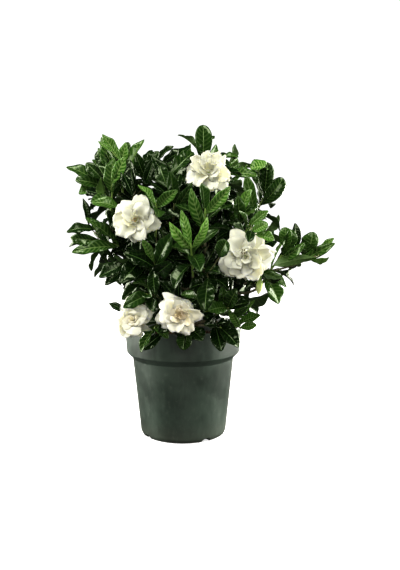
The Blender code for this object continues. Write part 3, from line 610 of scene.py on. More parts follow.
def petal_maker(draw, row, size, outward, facing, root):
    kind, _, tilt, length, width, droop, curl, fold, roll = row
    tilt = math.radians(tilt) + draw.uniform(-0.07, 0.07)
    length *= MM * size * draw.uniform(0.9, 1.08)
    width *= MM * size * draw.uniform(0.92, 1.06)

    def make(attempt):
        pitch = tilt + draw.uniform(-1, 1) * 0.015 * attempt
        shrink = 1 - 0.012 * attempt
        along = facing * math.cos(pitch) + outward * math.sin(pitch)
        up = facing * math.sin(pitch) - outward * math.cos(pitch)
        side = up.cross(along)
        turn = math.radians(roll) + draw.uniform(-0.05, 0.05)
        side, up = side * math.cos(turn) + up * math.sin(turn), up * math.cos(turn) - side * math.sin(turn)
        return Blade(
            kind, root, along, side, up, length * shrink, width * shrink,
            droop + draw.uniform(-0.1, 0.1), curl, math.radians(fold), draw.uniform(-0.1, 0.1), 0.0,
        )

    return make


def grow_bloom(thicket, draw, owner, eye, facing, size, turn):
    """A blade or None for each side of the core that a petal grows from."""
    points = [p for one in core_rings(eye, facing, size, turn) for p in one]
    blades = {}
    for whorl, row in enumerate(BLOOM_WHORLS):
        for k in range(0, CORE_SIDES, CORE_SIDES // row[1]):
            corners = quad(CORE_SIDES * (1 + whorl), k, CORE_SIDES)
            root = root_of(points, corners)
            outward = sum(root, Vector()) / 4 - eye
            outward = (outward - facing * outward.dot(facing)).normalized()
            make = petal_maker(draw, row, size, outward, facing, root)
            blades[corners] = fitted(thicket, owner, make)
    return blades


def bud_rings(foot, pointing):
    """A long bud: a narrow neck, a swollen middle and a pointed top, twisted a little from ring to ring."""
    shape = ((0.0, 0.42), (0.25, 0.6), (0.5, 1.0), (0.75, 0.78), (0.93, 0.34), (1.0, 0.08))
    return [
        ring(foot + pointing * (BUD_LENGTH * t), pointing, BUD_RADIUS * share, CORE_SIDES, 0.35 * k)
        for k, (t, share) in enumerate(shape)
    ]


def grow_plant(shoots):
    """Stems, branches, and the blades of each bloom and shoot, each placed clear of what came before."""
    draw = random.Random(SEED)
    thicket = Thicket()
    for outline in (POT_OUTLINE[:3], POT_OUTLINE[2:]):
        thicket.add("pot", *bands([ring(UP * z, UP, radius, POT_SIDES, 0) for z, radius in outline]))
    stems = stem_paths()
    branches = [branch_path(stems, shoot) for shoot in shoots]
    for path in stems:
        thicket.add("wood", *tube(path, (STEM_RADIUS, STEM_TOP_RADIUS), 5, 4))
    for path in branches:
        thicket.add("wood", *branch_tube(path))
    names = [f"shoot_{k + 1:02}" for k in range(len(shoots))]
    twigs = [twig_rings(shoot) for shoot in shoots]
    for name, rings in zip(names, twigs):
        thicket.add(name, *bands(rings))
    blooms = []
    for k, (eye, facing, size, turn, _) in enumerate(BLOOMS):
        name = f"bloom_{k + 1}"
        place = Vector(eye) * MM, Vector(facing).normalized(), size, math.radians(turn)
        thicket.add(name, *bands(core_rings(*place)))
        blooms.append(grow_bloom(thicket, draw, name, *place))
    for k, (foot, pointing) in enumerate(BUDS):
        thicket.add(f"bud_{k + 1}", *bands(bud_rings(Vector(foot) * MM, Vector(pointing).normalized())))
    grown = [
        grow_set_leaves(thicket, draw, name, shoot, leaf_places(shoot, rings))
        for name, shoot, rings in zip(names, shoots, twigs)
    ]
    for name, shoot, (blades, free) in zip(names, shoots, grown):
        blades.update(grow_other_leaves(thicket, draw, name, shoot, free))
    return stems, branches, blooms, [blades for blades, _ in grown]


# Fine blades


# tone, young, gloss and round_end run from 0 to 1, quilt is a height, and wave, hook and roll are shares of
# a width.
Look = namedtuple("Look", "tone young veins quilt wave phase gloss breadth fold hook roll round_end")
PetalLook = namedtuple("PetalLook", "cup roll ruffle phase pointed notch lop curl_in")
LEAF_ACROSS = np.array((-1.0, -0.84, -0.45, -0.09, 0.0, 0.09, 0.45, 0.84, 1.0))
PETAL_ACROSS = np.array((-1.0, -0.92, -0.76, -0.58, -0.38, -0.19, 0.0, 0.19, 0.38, 0.58, 0.76, 0.92, 1.0))
TIP_HALF = 0.12 * MM
LEAF_SKIN = 0.45 * MM
PETAL_SKIN = 0.28 * MM


def as_array(vectors):
    return np.array([tuple(v) for v in vectors], float)


def fine_spine(blade, spots):
    """Centres, sides and normals of a blade at these shares of its length, which may be a grid."""
    rows = spine(blade)
    even = np.linspace(0, 1, len(rows))
    found = []
    for k in range(3):
        column = as_array([row[k] for row in rows])
        found.append(np.stack([np.interp(spots, even, column[:, axis]) for axis in range(3)], axis=-1))
    centre, side, normal = found
    side /= np.linalg.norm(side, axis=-1, keepdims=True)
    normal /= np.linalg.norm(normal, axis=-1, keepdims=True)
    return centre, side, normal


def smooth(value, low, high):
    t = np.clip((value - low) / (high - low), 0, 1)
    return t * t * (3 - 2 * t)


def cell_corners(numbers, order):
    """The four point numbers of every cell of a grid, in this order of its corners."""
    corners = (numbers[:-1, :-1], numbers[:-1, 1:], numbers[1:, 1:], numbers[1:, :-1])
    return np.stack([corners[k] for k in order], axis=-1).reshape(-1, 4)


@functools.cache
def grid(steps, sides):
    """Quads of the upper and the lower face of a sheet with a shared rim, and which of them are below."""
    top = np.arange((steps + 1) * (sides + 1)).reshape(steps + 1, sides + 1)
    low = top.copy()
    low[1:-1, 1:-1] = top.size + np.arange((steps - 1) * (sides - 1)).reshape(steps - 1, sides - 1)
    upper, lower = cell_corners(top, (0, 1, 2, 3)), cell_corners(low, (0, 3, 2, 1))
    return np.concatenate([upper, lower]), np.repeat((0, 1), (len(upper), len(lower)))


def sheet(middle, upward, downward, way, spots, across):
    """One closed sheet: (points, quads, below, map). Its faces lie up and down a way from its middle and
    meet at the rim."""
    inside = (slice(1, -1), slice(1, -1))
    upper, lower = middle.copy(), middle.copy()
    upper[inside] += (way * upward[..., None])[inside]
    lower[inside] -= (way * downward[..., None])[inside]
    quads, below = grid(len(spots) - 1, len(across) - 1)
    place = np.stack(np.meshgrid(spots, (across + 1) / 2, indexing="ij"), axis=-1)
    points = np.concatenate([upper.reshape(-1, 3), lower[inside].reshape(-1, 3)])
    maps = np.concatenate([place.reshape(-1, 2), place[inside].reshape(-1, 2)])
    return points, quads, below, maps


def round_outline(t):
    """Half width over the greatest of a leaf with a wedge-shaped base and a broad round end."""
    return smooth(t, -0.05, 0.62) ** 0.9 * np.sqrt(np.clip(1 - np.clip((t - 0.6) / 0.4, 0, 1) ** 2.1, 0, 1))


def leaf_sheet(blade, look, steps):
    """A leaf folded at its midrib and raised between its side veins, with a waved edge and a rib below."""
    spots = np.linspace(0, 1, steps + 1)
    t, s = np.meshgrid(spots, LEAF_ACROSS, indexing="ij")
    centre, side, normal = fine_spine(blade, t)
    reach = np.abs(s)
    pointed = np.array([leaf_outline(x) for x in spots]) * (1 - 0.3 * smooth(spots, 0.68, 0.93))
    half = blend(pointed, round_outline(spots), look.round_end) * blade.width / 2 * look.breadth
    half = np.maximum(half, 0.9 * MM * (1 - spots) ** 0.5 + TIP_HALF)[:, None]
    inside = smooth(reach, 0.05, 0.4) * (1 - smooth(reach, 0.8, 1.0)) * smooth(t, 0.03, 0.2)
    inside = inside * (1 - smooth(t, 0.85, 0.99))
    swell = look.quilt * (0.5 - 0.5 * np.cos(2 * math.pi * look.veins * (t - 0.15 * reach**1.25))) * inside
    wave = look.wave * half * np.sin(look.phase + (2.3 + 0.5 * np.sign(s)) * 2 * math.pi * t) * reach**2
    fold = look.fold * (1 - 0.45 * smooth(t, 0.55, 1.0))
    rise = half * np.sin(fold) * reach**1.1 + wave * smooth(t, 0.1, 0.35) - look.hook * blade.length * t**5
    rise = rise - look.roll * half * reach**3 * smooth(t, 0.15, 0.5)
    middle = centre + side * (half * s * np.cos(fold))[..., None] + normal * rise[..., None]
    skin = LEAF_SKIN * (1 - reach**4)
    groove = 0.45 * MM * np.exp(-((s / 0.1) ** 2)) * smooth(t, 0.04, 0.16) * (1 - t)
    rib = 0.85 * MM * np.exp(-((s / 0.12) ** 2)) * (1 - 0.85 * t)
    return sheet(middle, skin + swell - groove, skin - 0.7 * swell + rib, normal, spots, LEAF_ACROSS)


def petal_sheet(blade, look, steps=14):
    """A petal from a narrow claw to a waved, lopsided and notched end, cupped or rolled back."""
    spots = np.linspace(0, 1, steps + 1) ** 0.85
    t, s = np.meshgrid(spots, PETAL_ACROSS, indexing="ij")
    reach = np.abs(s)
    round_end = 1 - 0.42 * reach**2.8 - look.notch * np.exp(-(((s - 0.15) / 0.22) ** 2))
    round_end = round_end + look.ruffle * np.sin(2 * look.phase + 6 * s) * (1 - reach)
    end = blend(round_end, 1.08 - 0.75 * reach**1.1, look.pointed)
    centre, side, normal = fine_spine(blade, np.clip(t * end, 0, 1))
    half = 0.15 + 0.85 * np.sin(np.minimum(1, t / 0.66) * math.pi / 2) ** 1.3
    half = half * (1 - 0.1 * smooth(t, 0.75, 1.0)) * blade.width / 2 * (1 + look.lop * s)
    folded_in = smooth(s * np.sign(look.lop + 1e-6), 0.3, 1.0) ** 2 * smooth(t, 0.25, 0.7)
    ruffles = np.sin(look.phase + 8.5 * s) * (0.3 + 0.7 * reach)
    ruffles = ruffles + 0.5 * np.sin(2.1 * look.phase + 14 * s + 2 * t)
    rise = blade.width * (
        look.ruffle * ruffles * smooth(t, 0.3, 1.0) ** 2
        - look.roll * smooth(t, 0.55, 1.0) ** 2 * (1 - 0.3 * reach)
        - look.curl_in * folded_in
        - 0.035 * np.exp(-((s / 0.2) ** 2)) * smooth(t, 0.05, 0.4) * (1 - smooth(t, 0.6, 1.0))
        + 0.01 * np.cos(11 * s + look.phase) * smooth(t, 0.1, 0.4)
    )
    rise = rise + look.cup * half * s**2
    middle = centre + side * (half * s)[..., None] + normal * rise[..., None]
    skin = PETAL_SKIN * (1 - 0.75 * reach**6) * (1 - 0.6 * smooth(t, 0.8, 1.0))
    return sheet(middle, skin, skin, normal, spots, PETAL_ACROSS)


def rod(rows, radii, sides):
    """A closed round rod through points: (points, quads, map). Its radii are one or more for each point."""
    places = as_array(rows)
    ways = np.gradient(places, axis=0)
    ways /= np.linalg.norm(ways, axis=1, keepdims=True)
    reference = (0.0, 0.0, 1.0) if abs(ways[:, 2]).max() < 0.97 else (0.3, -1.0, 0.0)
    first = np.cross(ways, reference)
    first /= np.linalg.norm(first, axis=1, keepdims=True)
    second = np.cross(ways, first)
    angles = np.linspace(0, 2 * math.pi, sides, endpoint=False)[None, :, None]
    radii = np.array(radii, float)
    radii = radii[:, None, None] if radii.ndim == 1 else radii[..., None]
    rings = places[:, None] + radii * (first[:, None] * np.cos(angles) + second[:, None] * np.sin(angles))
    count = len(places)
    points = np.concatenate([rings.reshape(-1, 3), places[:1], places[-1:]])
    here = np.arange(sides)
    following = (here + 1) % sides
    base = np.arange(count - 1)[:, None] * sides
    a, b = (base + here).ravel(), (base + following).ravel()
    none, top = np.full(sides, -1), (count - 1) * sides
    faces = np.concatenate([
        np.stack([a, b, b + sides, a + sides], axis=1),
        np.stack([none + 1 + count * sides, following, here, none], axis=1),
        np.stack([none + 2 + count * sides, top + here, top + following, none], axis=1),
    ])
    along = np.repeat(np.linspace(0, 1, count), sides)
    turn = np.tile(np.linspace(0, 1, sides, endpoint=False), count)
    return points, faces, np.concatenate([np.stack([along, turn], axis=1), [[0, 0.5], [1, 0.5]]])


class Piece:
    """Collects closed parts and makes one object of them."""

    def __init__(self, name):
        self.name = name
        self.points, self.faces, self.finish, self.maps, self.tones = [], [], [], [], []
        self.count = 0

    def add_rod(self, rows, radii, sides, finish, tone):
        points, faces, maps = rod(rows, radii, sides)
        self.add(points, faces, finish, maps, tone)

    def add_petal(self, part, finish, tone):
        points, faces, _, maps = part
        self.add(points, faces, finish, maps, tone)

    def add_leaf(self, blade, look, steps):
        points, faces, below, maps = leaf_sheet(blade, look, steps)
        self.add(points, faces, below, maps, (look.tone, look.young, look.gloss, look.veins / 20))

    def add(self, points, faces, finish, maps, tone):
        """finish is a material number or one for each face, and tone four numbers for the whole part."""
        faces = np.where(faces < 0, -1, faces + self.count)
        self.points.append(points)
        self.faces.append(faces)
        self.finish.append(np.broadcast_to(finish, len(faces)))
        self.maps.append(maps)
        self.tones.append(np.broadcast_to(np.array(tone, float), (len(points), 4)))
        self.count += len(points)

    def make(self, materials, slot, *replaced):
        points = np.concatenate(self.points)
        faces = np.concatenate(self.faces)
        maps, tones = np.concatenate(self.maps), np.concatenate(self.tones)
        corners = faces[faces >= 0]
        totals = (faces >= 0).sum(axis=1)
        starts = np.concatenate([[0], np.cumsum(totals)[:-1]])
        mesh = bpy.data.meshes.new(self.name)
        mesh.vertices.add(len(points))
        mesh.vertices.foreach_set("co", points.astype(np.float32).ravel())
        mesh.loops.add(len(corners))
        mesh.loops.foreach_set("vertex_index", corners.astype(np.int32))
        mesh.polygons.add(len(faces))
        mesh.polygons.foreach_set("loop_start", starts.astype(np.int32))
        mesh.polygons.foreach_set("material_index", np.concatenate(self.finish).astype(np.int32))
        mesh.update(calc_edges=True)
        mesh.shade_smooth()
        layer = mesh.uv_layers.new(name="blade_map")
        layer.data.foreach_set("uv", maps[corners].astype(np.float32).ravel())
        tone = mesh.attributes.new("tone", "FLOAT_COLOR", "POINT")
        tone.data.foreach_set("color", tones.astype(np.float32).ravel())
        for one in materials:
            mesh.materials.append(one)
        return keep(self.name, mesh, slot, *replaced)


def link(name, data):
    made = bpy.data.objects.new(name, data)
    bpy.context.scene.collection.objects.link(made)
    return made


def keep(name, mesh, slot, *replaced):
    """One visible piece: what it rides on, its slot, which is not used, and the solid that it stands in for.
    """
    made = link(name, mesh)
    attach(made, "root")
    if replaced:
        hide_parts(*replaced)
    return made


# Sprays of leaves

SPRAY_SEED = 1000
LEAF_STEPS = 32
BACK_STEPS = 20
INNER_STEPS = 14
# Sprays behind the crown, whose leaves have fewer steps, by the shoot's number.
BACK_SPRAYS = (7, 8, *range(40, 50))
TOP, UNDER, TWIG = 0, 1, 2
# How near a leaf's tip has to come to a set tip to be taken for the leaf that was set there.
MET = 15 * MM
# How fresh the young leaves of a shoot are, from old and dark to young and light, by the shoot's number. A
# low value also holds the leaves' tone dark, as painted shade for shoots in the crown's shadow.
FRESHNESS_AND_SHADE = {
    9: 0.5, 10: 0.8, 11: 0.4, 12: 0.5, 13: 1.0, 14: 0.55, 15: 0.4, 18: 0.65, 19: 0.55, 20: 0.3, 22: 0.2,
    23: 0.8, 24: 0.4, 25: 0.75, 26: 0.35, 27: 0.75, 28: 0.6, 29: 0.5, 32: 0.3, 33: 0.7, 35: 0.4, 38: 0.3,
    44: 0.5, 47: 0.3, 49: 0.4,
}
PLAIN_FRESH = 0.1
# The share of that freshness in the leaves that weren't set, from the youngest whorl down.
FRESH_BY_AGE = (0.4, 0.2, 0.1)
# Leaves that differ from their neighbours, by the shoot's number and the leaf's place in its list.
SHAPED = {
    (9, 0): dict(breadth=1.25, round_end=0.8, young=0.3),
    (13, 0): dict(breadth=0.64, young=1.0, tone=0.9),
    (13, 1): dict(breadth=0.64, young=1.0, tone=1.0),
    (13, 2): dict(breadth=0.6, young=0.85, tone=0.6),
    (14, 0): dict(breadth=1.35, round_end=0.5, young=0.35),
    (15, 0): dict(breadth=1.2, young=0.45, roll=0.5, round_end=0.5),
    (15, 1): dict(breadth=1.35, young=0.2, roll=0.4, round_end=0.6),
    (15, 2): dict(breadth=1.35, young=0.25, roll=0.3, round_end=0.8),
    (19, 0): dict(breadth=0.8, young=0.8),
    (24, 0): dict(young=0.7),
    (25, 0): dict(breadth=0.8, young=0.9),
    (25, 1): dict(breadth=0.8, young=0.75),
    (28, 0): dict(breadth=1.2, round_end=0.6, young=0.3),
    (29, 0): dict(breadth=1.5, round_end=0.2, young=0.35),
}


# Leaves that twist further than the solids' leaves do, by the shoot's number and the leaf's first corner.
TWISTED = {(12, 11): 0.9}


def leaf_look(draw, fresh, blade):
    """Tone from 0 for dark to 1 for light, held low as painted shade where freshness is low, and the relief
    of one leaf.
    """
    young = min(1.0, max(0.0, fresh * draw.uniform(0.6, 1.15) + draw.uniform(-0.06, 0.06)))
    return Look(
        # Painted shade: leaves of little freshness get a darker tone, standing in for the crown's shadow.
        tone=draw.random() * min(1.0, 0.25 + 2 * fresh),
        young=young,
        veins=draw.choice((8, 9, 10)),
        quilt=draw.uniform(0.75, 1.25) * MM * (0.8 + 0.5 * young),
        wave=draw.uniform(0.08, 0.26),
        phase=draw.uniform(0, 6.28),
        gloss=draw.random(),
        breadth=draw.uniform(0.98, 1.12) - 0.32 * young,
        fold=blade.fold + math.radians(draw.uniform(4, 24) + 12 * young),
        hook=draw.uniform(-0.02, 0.1),
        roll=draw.uniform(0.0, 0.18),
        round_end=draw.uniform(0.0, 0.35) * (1 - young),
    )


def add_twig(piece, path, whorl_spots, fresh, flower):
    """A green twig, thicker at its whorls, with a small pointed bud at its end where it has no flower."""
    spots = np.linspace(0, 1, 15)
    radii = blend(TWIG_RADIUS, TWIG_TAPER * TWIG_RADIUS, spots)
    for spot in whorl_spots:
        radii = radii + 0.35 * MM * np.exp(-(((spots - spot) / 0.05) ** 2))
    if flower:
        radii[-2:] = (2.6 * MM, 3.2 * MM)
    piece.add_rod(along_path(path, spots), radii, 8, TWIG, (0.3, fresh, 0.5, 0.5))
    if not flower:
        heading = heading_on(path, 1)
        foot = path.end - heading * (1 * MM)
        shape = ((0, 1.0), (0.25, 1.5), (0.55, 1.2), (0.85, 0.5), (1.0, 0.1))
        rows = [foot + heading * (8 * MM * t) for t, _ in shape]
        piece.add_rod(rows, [radius * MM for _, radius in shape], 6, TWIG, (0.9, 1.0, 0.5, 0.5))


def met_tips(shoot, blades):
    """For each leaf whose tip lies at a set tip, the place of that tip in the shoot's list."""
    ends = {corners: spine(blade)[-1][0] for corners, blade in blades.items()}
    met = {}
    for k, target in enumerate(shoot.set_tips):
        nearest = min(ends, key=lambda corners: (ends[corners] - target).length)
        if (ends[nearest] - target).length < MET:
            met[nearest] = k
    return met


def make_spray(number, shoot, blades, materials):
    draw = random.Random(SPRAY_SEED + number - 1)
    piece = Piece(f"spray_{number:02}")
    length = (shoot.path.end - shoot.path.start).length
    flower = shoot.tip_kind != "leaf"
    fresh = FRESHNESS_AND_SHADE.get(number, PLAIN_FRESH)
    top = length - (NECK if flower else WHORL_HEIGHT)
    whorl_spots = [(top - k * WHORL_SPACING) / length for k in range(shoot.whorls)]
    start = on_path(shoot.path, SEAT_GAP / length)
    add_twig(piece, shoot.path._replace(start=start), whorl_spots, fresh, flower)
    grown = {corners: blade for corners, blade in blades.items() if blade is not None}
    met = met_tips(shoot, grown)
    for corners, blade in grown.items():
        age = shoot.whorls - 1 - (corners[0] // WHORL_LEAVES - 1) // 2
        look = leaf_look(draw, fresh if corners in met else fresh * FRESH_BY_AGE[age], blade)
        if corners in met:
            look = look._replace(hook=0.02, **SHAPED.get((number, met[corners]), {}))
        blade = blade._replace(twist=blade.twist + TWISTED.get((number, corners[0]), 0.0))
        piece.add_leaf(blade, look, BACK_STEPS if number in BACK_SPRAYS else LEAF_STEPS)
    piece.make(materials, "leaf", f"shoot_{number:02}")


# Inner foliage: short side twigs on the branches, which fill the crown behind the sprays

INNER_SEED = 5
SINGLE_SEED = 77
CROWN_MIDDLE = Vector((-5, 5, 372)) * MM
CROWN_RADII = (150 * MM, 138 * MM, 160 * MM)
BLOOM_ROOM = 40 * MM


def in_crown(point):
    return sum(((point[k] - CROWN_MIDDLE[k]) / CROWN_RADII[k]) ** 2 for k in range(3)) < 1


def hides_bloom(point):
    """Whether a point lies in front of a bloom's back or among its petals."""
    for eye, facing, size, _, _ in BLOOMS:
        away = Vector(point) - Vector(eye) * MM
        facing = Vector(facing).normalized()
        height = away.dot(facing)
        if height > -14 * MM and (away - facing * height).length < BLOOM_ROOM * size:
            return True
    return False


def inner_blade(draw, root, heading, out):
    tilt = math.radians(draw.uniform(40, 85))
    along = heading * math.cos(tilt) + out * math.sin(tilt)
    up = heading * math.sin(tilt) - out * math.cos(tilt) + UP * 0.5
    up = (up - along * up.dot(along)).normalized()
    length = draw.uniform(40, 60) * MM
    width = length * LEAF_WIDTH_SHARE * draw.uniform(0.85, 1.1)
    return Blade(
        "leaf", (root,), along, up.cross(along), up, length, width,
        draw.uniform(0.3, 1.0), draw.uniform(-0.1, 0.3), math.radians(draw.uniform(8, 22)),
        draw.uniform(-0.3, 0.3), draw.uniform(-0.08, 0.08),
    )


def inner_leaves(draw, twig, heading):
    """Two whorls of old leaves on a twig, given the darkest tone as painted shade of the crown's inside,
    without those that would stand out or hide a bloom.
    """
    for share in (0.55, 1.0):
        turn = draw.uniform(0, 6.28)
        for k in range(WHORL_LEAVES):
            out = around(heading, turn + 2 * math.pi * k / WHORL_LEAVES)
            blade = inner_blade(draw, on_path(twig, share), heading, out)
            # Tone 0 is painted shade: these leaves are coloured near black to stand in for the shadow inside
            # the crown.
            look = leaf_look(draw, 0.0, blade)._replace(young=0.0, tone=0.0, gloss=0.0)
            rows = spine(blade)
            middle, end = rows[14][0], rows[-1][0]
            hidden = hides_bloom(end) or hides_bloom(middle)
            if in_crown(end) and end.z > POT_HEIGHT + 4 * MM and not hidden:
                yield blade, look


def make_inner_leaves(stems, branches, materials):
    draw = random.Random(INNER_SEED)
    carriers = [(path, (0.3, 0.55, 0.8)) for path in branches]
    carriers += [(path, (0.35, 0.5, 0.65, 0.8, 0.95)) for path in stems]
    pieces = [Piece(f"inner_leaves_{k + 1}") for k in range(3)]
    for number, (path, spots) in enumerate(carriers):
        piece = pieces[number % len(pieces)]
        for spot in spots:
            foot = on_path(path, min(1.0, spot + draw.uniform(-0.06, 0.06)))
            outward = Vector((foot.x, foot.y, 0.3 * (foot.z - CROWN_MIDDLE.z)))
            away = Vector([draw.uniform(-1, 1) for _ in range(3)])
            heading = (outward.normalized() * 0.8 + away * 0.8 + UP * 0.3).normalized()
            length = draw.uniform(18, 34) * MM
            tip = foot + heading * length
            if foot.z < POT_HEIGHT - 10 * MM or not in_crown(tip):
                continue
            twig = Path(foot, foot + heading * (length / 2), tip)
            leaves = list(inner_leaves(draw, twig, heading))
            if leaves:
                rows = along_path(twig, (0, 0.35, 0.7, 1))
                piece.add_rod(rows, [r * MM for r in (1.5, 1.3, 1.1, 0.4)], 5, TWIG, (0.2, 0.1, 0.5, 0.5))
            for blade, look in leaves:
                piece.add_leaf(blade, look, INNER_STEPS)
    for piece in pieces:
        piece.make(materials, "leaf")


# Single leaves on short stalks, which fill out the sprays: foot and tip in millimetres, the way the upper
# face looks, width in millimetres, how young the leaf is (a low value also holds its tone dark, as painted
# shade for leaves in the crown's shadow), how far it arches, and how round its end is.
SINGLE_LEAVES = (
    ((-20, -125, 482), (21, -110, 522), (-0.3, -1.0, 0.4), 31, 0.25, 0.4, 0.5),
    ((-39, -115, 509), (-22, -135, 462), (-0.2, -1.0, 0.2), 27, 0.2, 0.5, 0.4),
    ((-18, -60, 503), (16, -75, 534), (-0.4, -0.8, 0.6), 21, 0.05, 0.4, 0.2),
    ((-42, -60, 507), (-14, -70, 534), (-0.5, -0.8, 0.5), 17, 0.1, 0.9, 0.3),
    ((-105, -85, 508), (-137, -80, 554), (0.3, -1.0, 0.3), 23, 0.7, -0.3, 0.0),
    ((-119, -90, 523), (-143, -95, 541), (0.2, -1.0, 0.4), 10, 0.8, 0.2, 0.0),
    ((-126, -70, 488), (-148, -65, 526), (-0.2, -1.0, 0.2), 26, 0.2, 0.3, 0.6),
    ((-118, -110, 469), (-95, -115, 515), (0.2, -1.0, 0.2), 23, 0.9, 0.2, 0.0),
    ((-107, -60, 510), (-93, -60, 541), (0.1, -1.0, 0.2), 18, 0.3, 0.4, 0.6),
    ((-79, -90, 455), (-89, -85, 510), (-0.4, -1.0, 0.1), 24, 0.0, 0.5, 0.2),
    ((-68, -70, 462), (-50, -70, 513), (0.4, -1.0, 0.2), 22, 0.05, 0.5, 0.1),
    ((-82, -120, 448), (-102, -115, 492), (0.1, -1.0, 0.3), 19, 0.0, 0.3, 0.1),
    ((-145, -60, 447), (-173, -60, 454), (0.0, -0.9, 0.6), 19, 0.05, 0.5, 0.3),
    ((-165, -65, 395), (-174, -70, 444), (0.6, -0.8, 0.0), 15, 0.0, 0.3, 0.0),
    ((-150, -80, 389), (-200, -95, 386), (0.0, -0.8, 0.6), 23, 0.15, 0.9, 0.2),
    ((-44, -172, 341), (-60, -216, 382), (0.3, -1.0, 0.2), 17, 0.7, -0.2, 0.0),
    ((-104, -115, 426), (-151, -125, 437), (-0.1, -0.8, 0.6), 25, 0.55, 1.0, 0.3),
    ((-136, -80, 448), (-167, -80, 458), (0.0, -1.0, 0.3), 18, 0.0, 0.4, 0.3),
    ((-47, -155, 330), (-43, -170, 288), (0.0, -1.0, 0.3), 24, 0.1, 0.4, 0.3),
    ((62, -205, 351), (74, -228, 381), (-0.2, -1.0, 0.2), 27, 0.25, 0.5, 1.0),
    ((113, -222, 396), (107, -245, 379), (0.0, -1.0, 0.5), 17, 0.1, 0.5, 0.4),
    ((112, -225, 393), (138, -232, 407), (-0.3, -1.0, 0.4), 23, 0.75, 0.3, 0.5),
    ((118, -227, 390), (147, -235, 382), (0.0, -0.9, 0.6), 20, 0.65, 0.6, 0.6),
    ((203, -55, 352), (200, -60, 400), (0.3, -1.0, 0.0), 19, 0.1, 0.3, 0.3),
    ((182, -90, 354), (179, -100, 395), (-0.2, -1.0, 0.3), 28, 0.5, 0.5, 0.9),
    ((233, -85, 341), (159, -110, 330), (0.1, 1.0, 0.2), 22, 0.3, 0.9, 0.1),
    ((246, -45, 350), (271, -55, 373), (-0.3, -1.0, 0.3), 15, 0.8, 0.4, 0.0),
    ((-94, -135, 252), (-123, -140, 268), (0.2, -1.0, 0.4), 15, 0.0, 0.4, 0.0),
    ((-39, -50, 500), (9, -60, 529), (-0.4, -0.8, 0.5), 25, 0.05, 0.6, 0.3),
    ((-136, -75, 474), (-166, -80, 505), (-0.1, -1.0, 0.4), 25, 0.25, 0.4, 0.4),
    ((137, -50, 433), (133, -50, 472), (0.5, -0.9, 0.0), 13, 0.0, 0.5, 0.1),
    ((101, -115, 221), (130, -120, 227), (0.0, -1.0, 0.5), 18, 0.5, 0.5, 0.1),
    ((100, -130, 224), (80, -150, 260), (-0.3, -1.0, 0.2), 16, 0.6, 0.3, 0.0),
    ((45, -190, 318), (40, -212, 266), (-0.1, -1.0, 0.3), 31, 0.15, 0.5, 0.3),
    ((28, -175, 284), (1, -205, 291), (0.0, -0.9, 0.5), 17, 0.35, 0.5, 0.2),
    ((-32, -125, 214), (-66, -140, 187), (0.1, -1.0, 0.4), 21, 0.0, 0.4, 0.2),
    ((8, -140, 224), (3, -155, 190), (0.0, -1.0, 0.3), 28, 0.3, 0.4, 0.5),
    ((156, -5, 492), (122, -25, 496), (0.0, -0.8, 0.6), 31, 1.0, 1.4, 0.6),
    ((64, -90, 513), (98, -95, 514), (0.0, -0.6, 0.8), 16, 0.35, 0.8, 0.3),
    ((118, -90, 415), (140, -100, 421), (0.0, -0.8, 0.6), 15, 0.05, 0.6, 0.2),
)

# Twigs that carry some of them: start, a point that the twig bends towards, and end, in millimetres.
SINGLE_TWIGS = (
    ((125, -85, 312), (185, -80, 318), (236, -75, 343)),
)


def aimed_blade(foot, tip, facing, width, arch):
    """A leaf that starts at its foot, ends at its tip and arches by the angle between."""
    chord = tip - foot
    along, length = chord.normalized(), chord.length
    for _ in range(5):
        up = (facing - along * facing.dot(along)).normalized()
        side, fold, sway = up.cross(along), math.radians(10), 0.04
        blade = Blade("leaf", (foot,), along, side, up, length, width, arch, 0.1, fold, 0.0, sway)
        reached = spine(blade)[-1][0] - foot
        along = reached.rotation_difference(chord).to_matrix() @ along
        length *= chord.length / reached.length
    return blade


def make_single_leaves(stems, branches, shoots, materials):
    """Each leaf, then its stalk, from the nearest wood or the nearest stalk that is already there."""
    draw = random.Random(SINGLE_SEED)
    piece = Piece("single_leaves")
    paths = [*stems, *branches, *(shoot.path for shoot in shoots)]
    wood = [on_path(path, k / 20) for path in paths for k in range(21)]
    stalks = []
    for foot, tip, facing, width, young, arch, round_end in SINGLE_LEAVES:
        foot, tip = Vector(foot) * MM, Vector(tip) * MM
        blade = aimed_blade(foot, tip, Vector(facing), width * MM, arch)
        look = leaf_look(draw, young, blade)
        look = look._replace(breadth=1.0, hook=0.0, young=young, round_end=round_end)
        piece.add_leaf(blade, look, LEAF_STEPS)
        stalks.append((foot, blade.along, young))
    for foot, along, young in sorted(stalks, key=lambda one: min((point - one[0]).length for point in wood)):
        hold = min(wood, key=lambda point: (point - foot).length)
        bend = blend(foot, hold, 0.4) - along * (0.3 * (hold - foot).length)
        spots = np.linspace(0, 1, 7)
        rows = along_path(Path(hold, bend, foot + along * (2 * MM)), spots)
        piece.add_rod(rows, blend(1.3, 0.8, spots) * MM, 6, TWIG, (0.4, 0.5 * young + 0.1, 0.5, 0.5))
        wood += rows[1:5]
    for corners in SINGLE_TWIGS:
        twig = Path(*(Vector(corner) * MM for corner in corners))
        spots = np.linspace(0, 1, 14)
        piece.add_rod(along_path(twig, spots), blend(2.0, 1.3, spots) * MM, 8, TWIG, (0.2, 0.05, 0.5, 0.5))
    piece.make(materials, "leaf")


# Flowers

FLOWER_SEED = 2000
PETAL, GREEN, ANTHER = 0, 1, 2
SEPAL = PetalLook(0.4, 0.0, 0.0, 0.0, 1.0, 0.0, 0.0, 0.0)
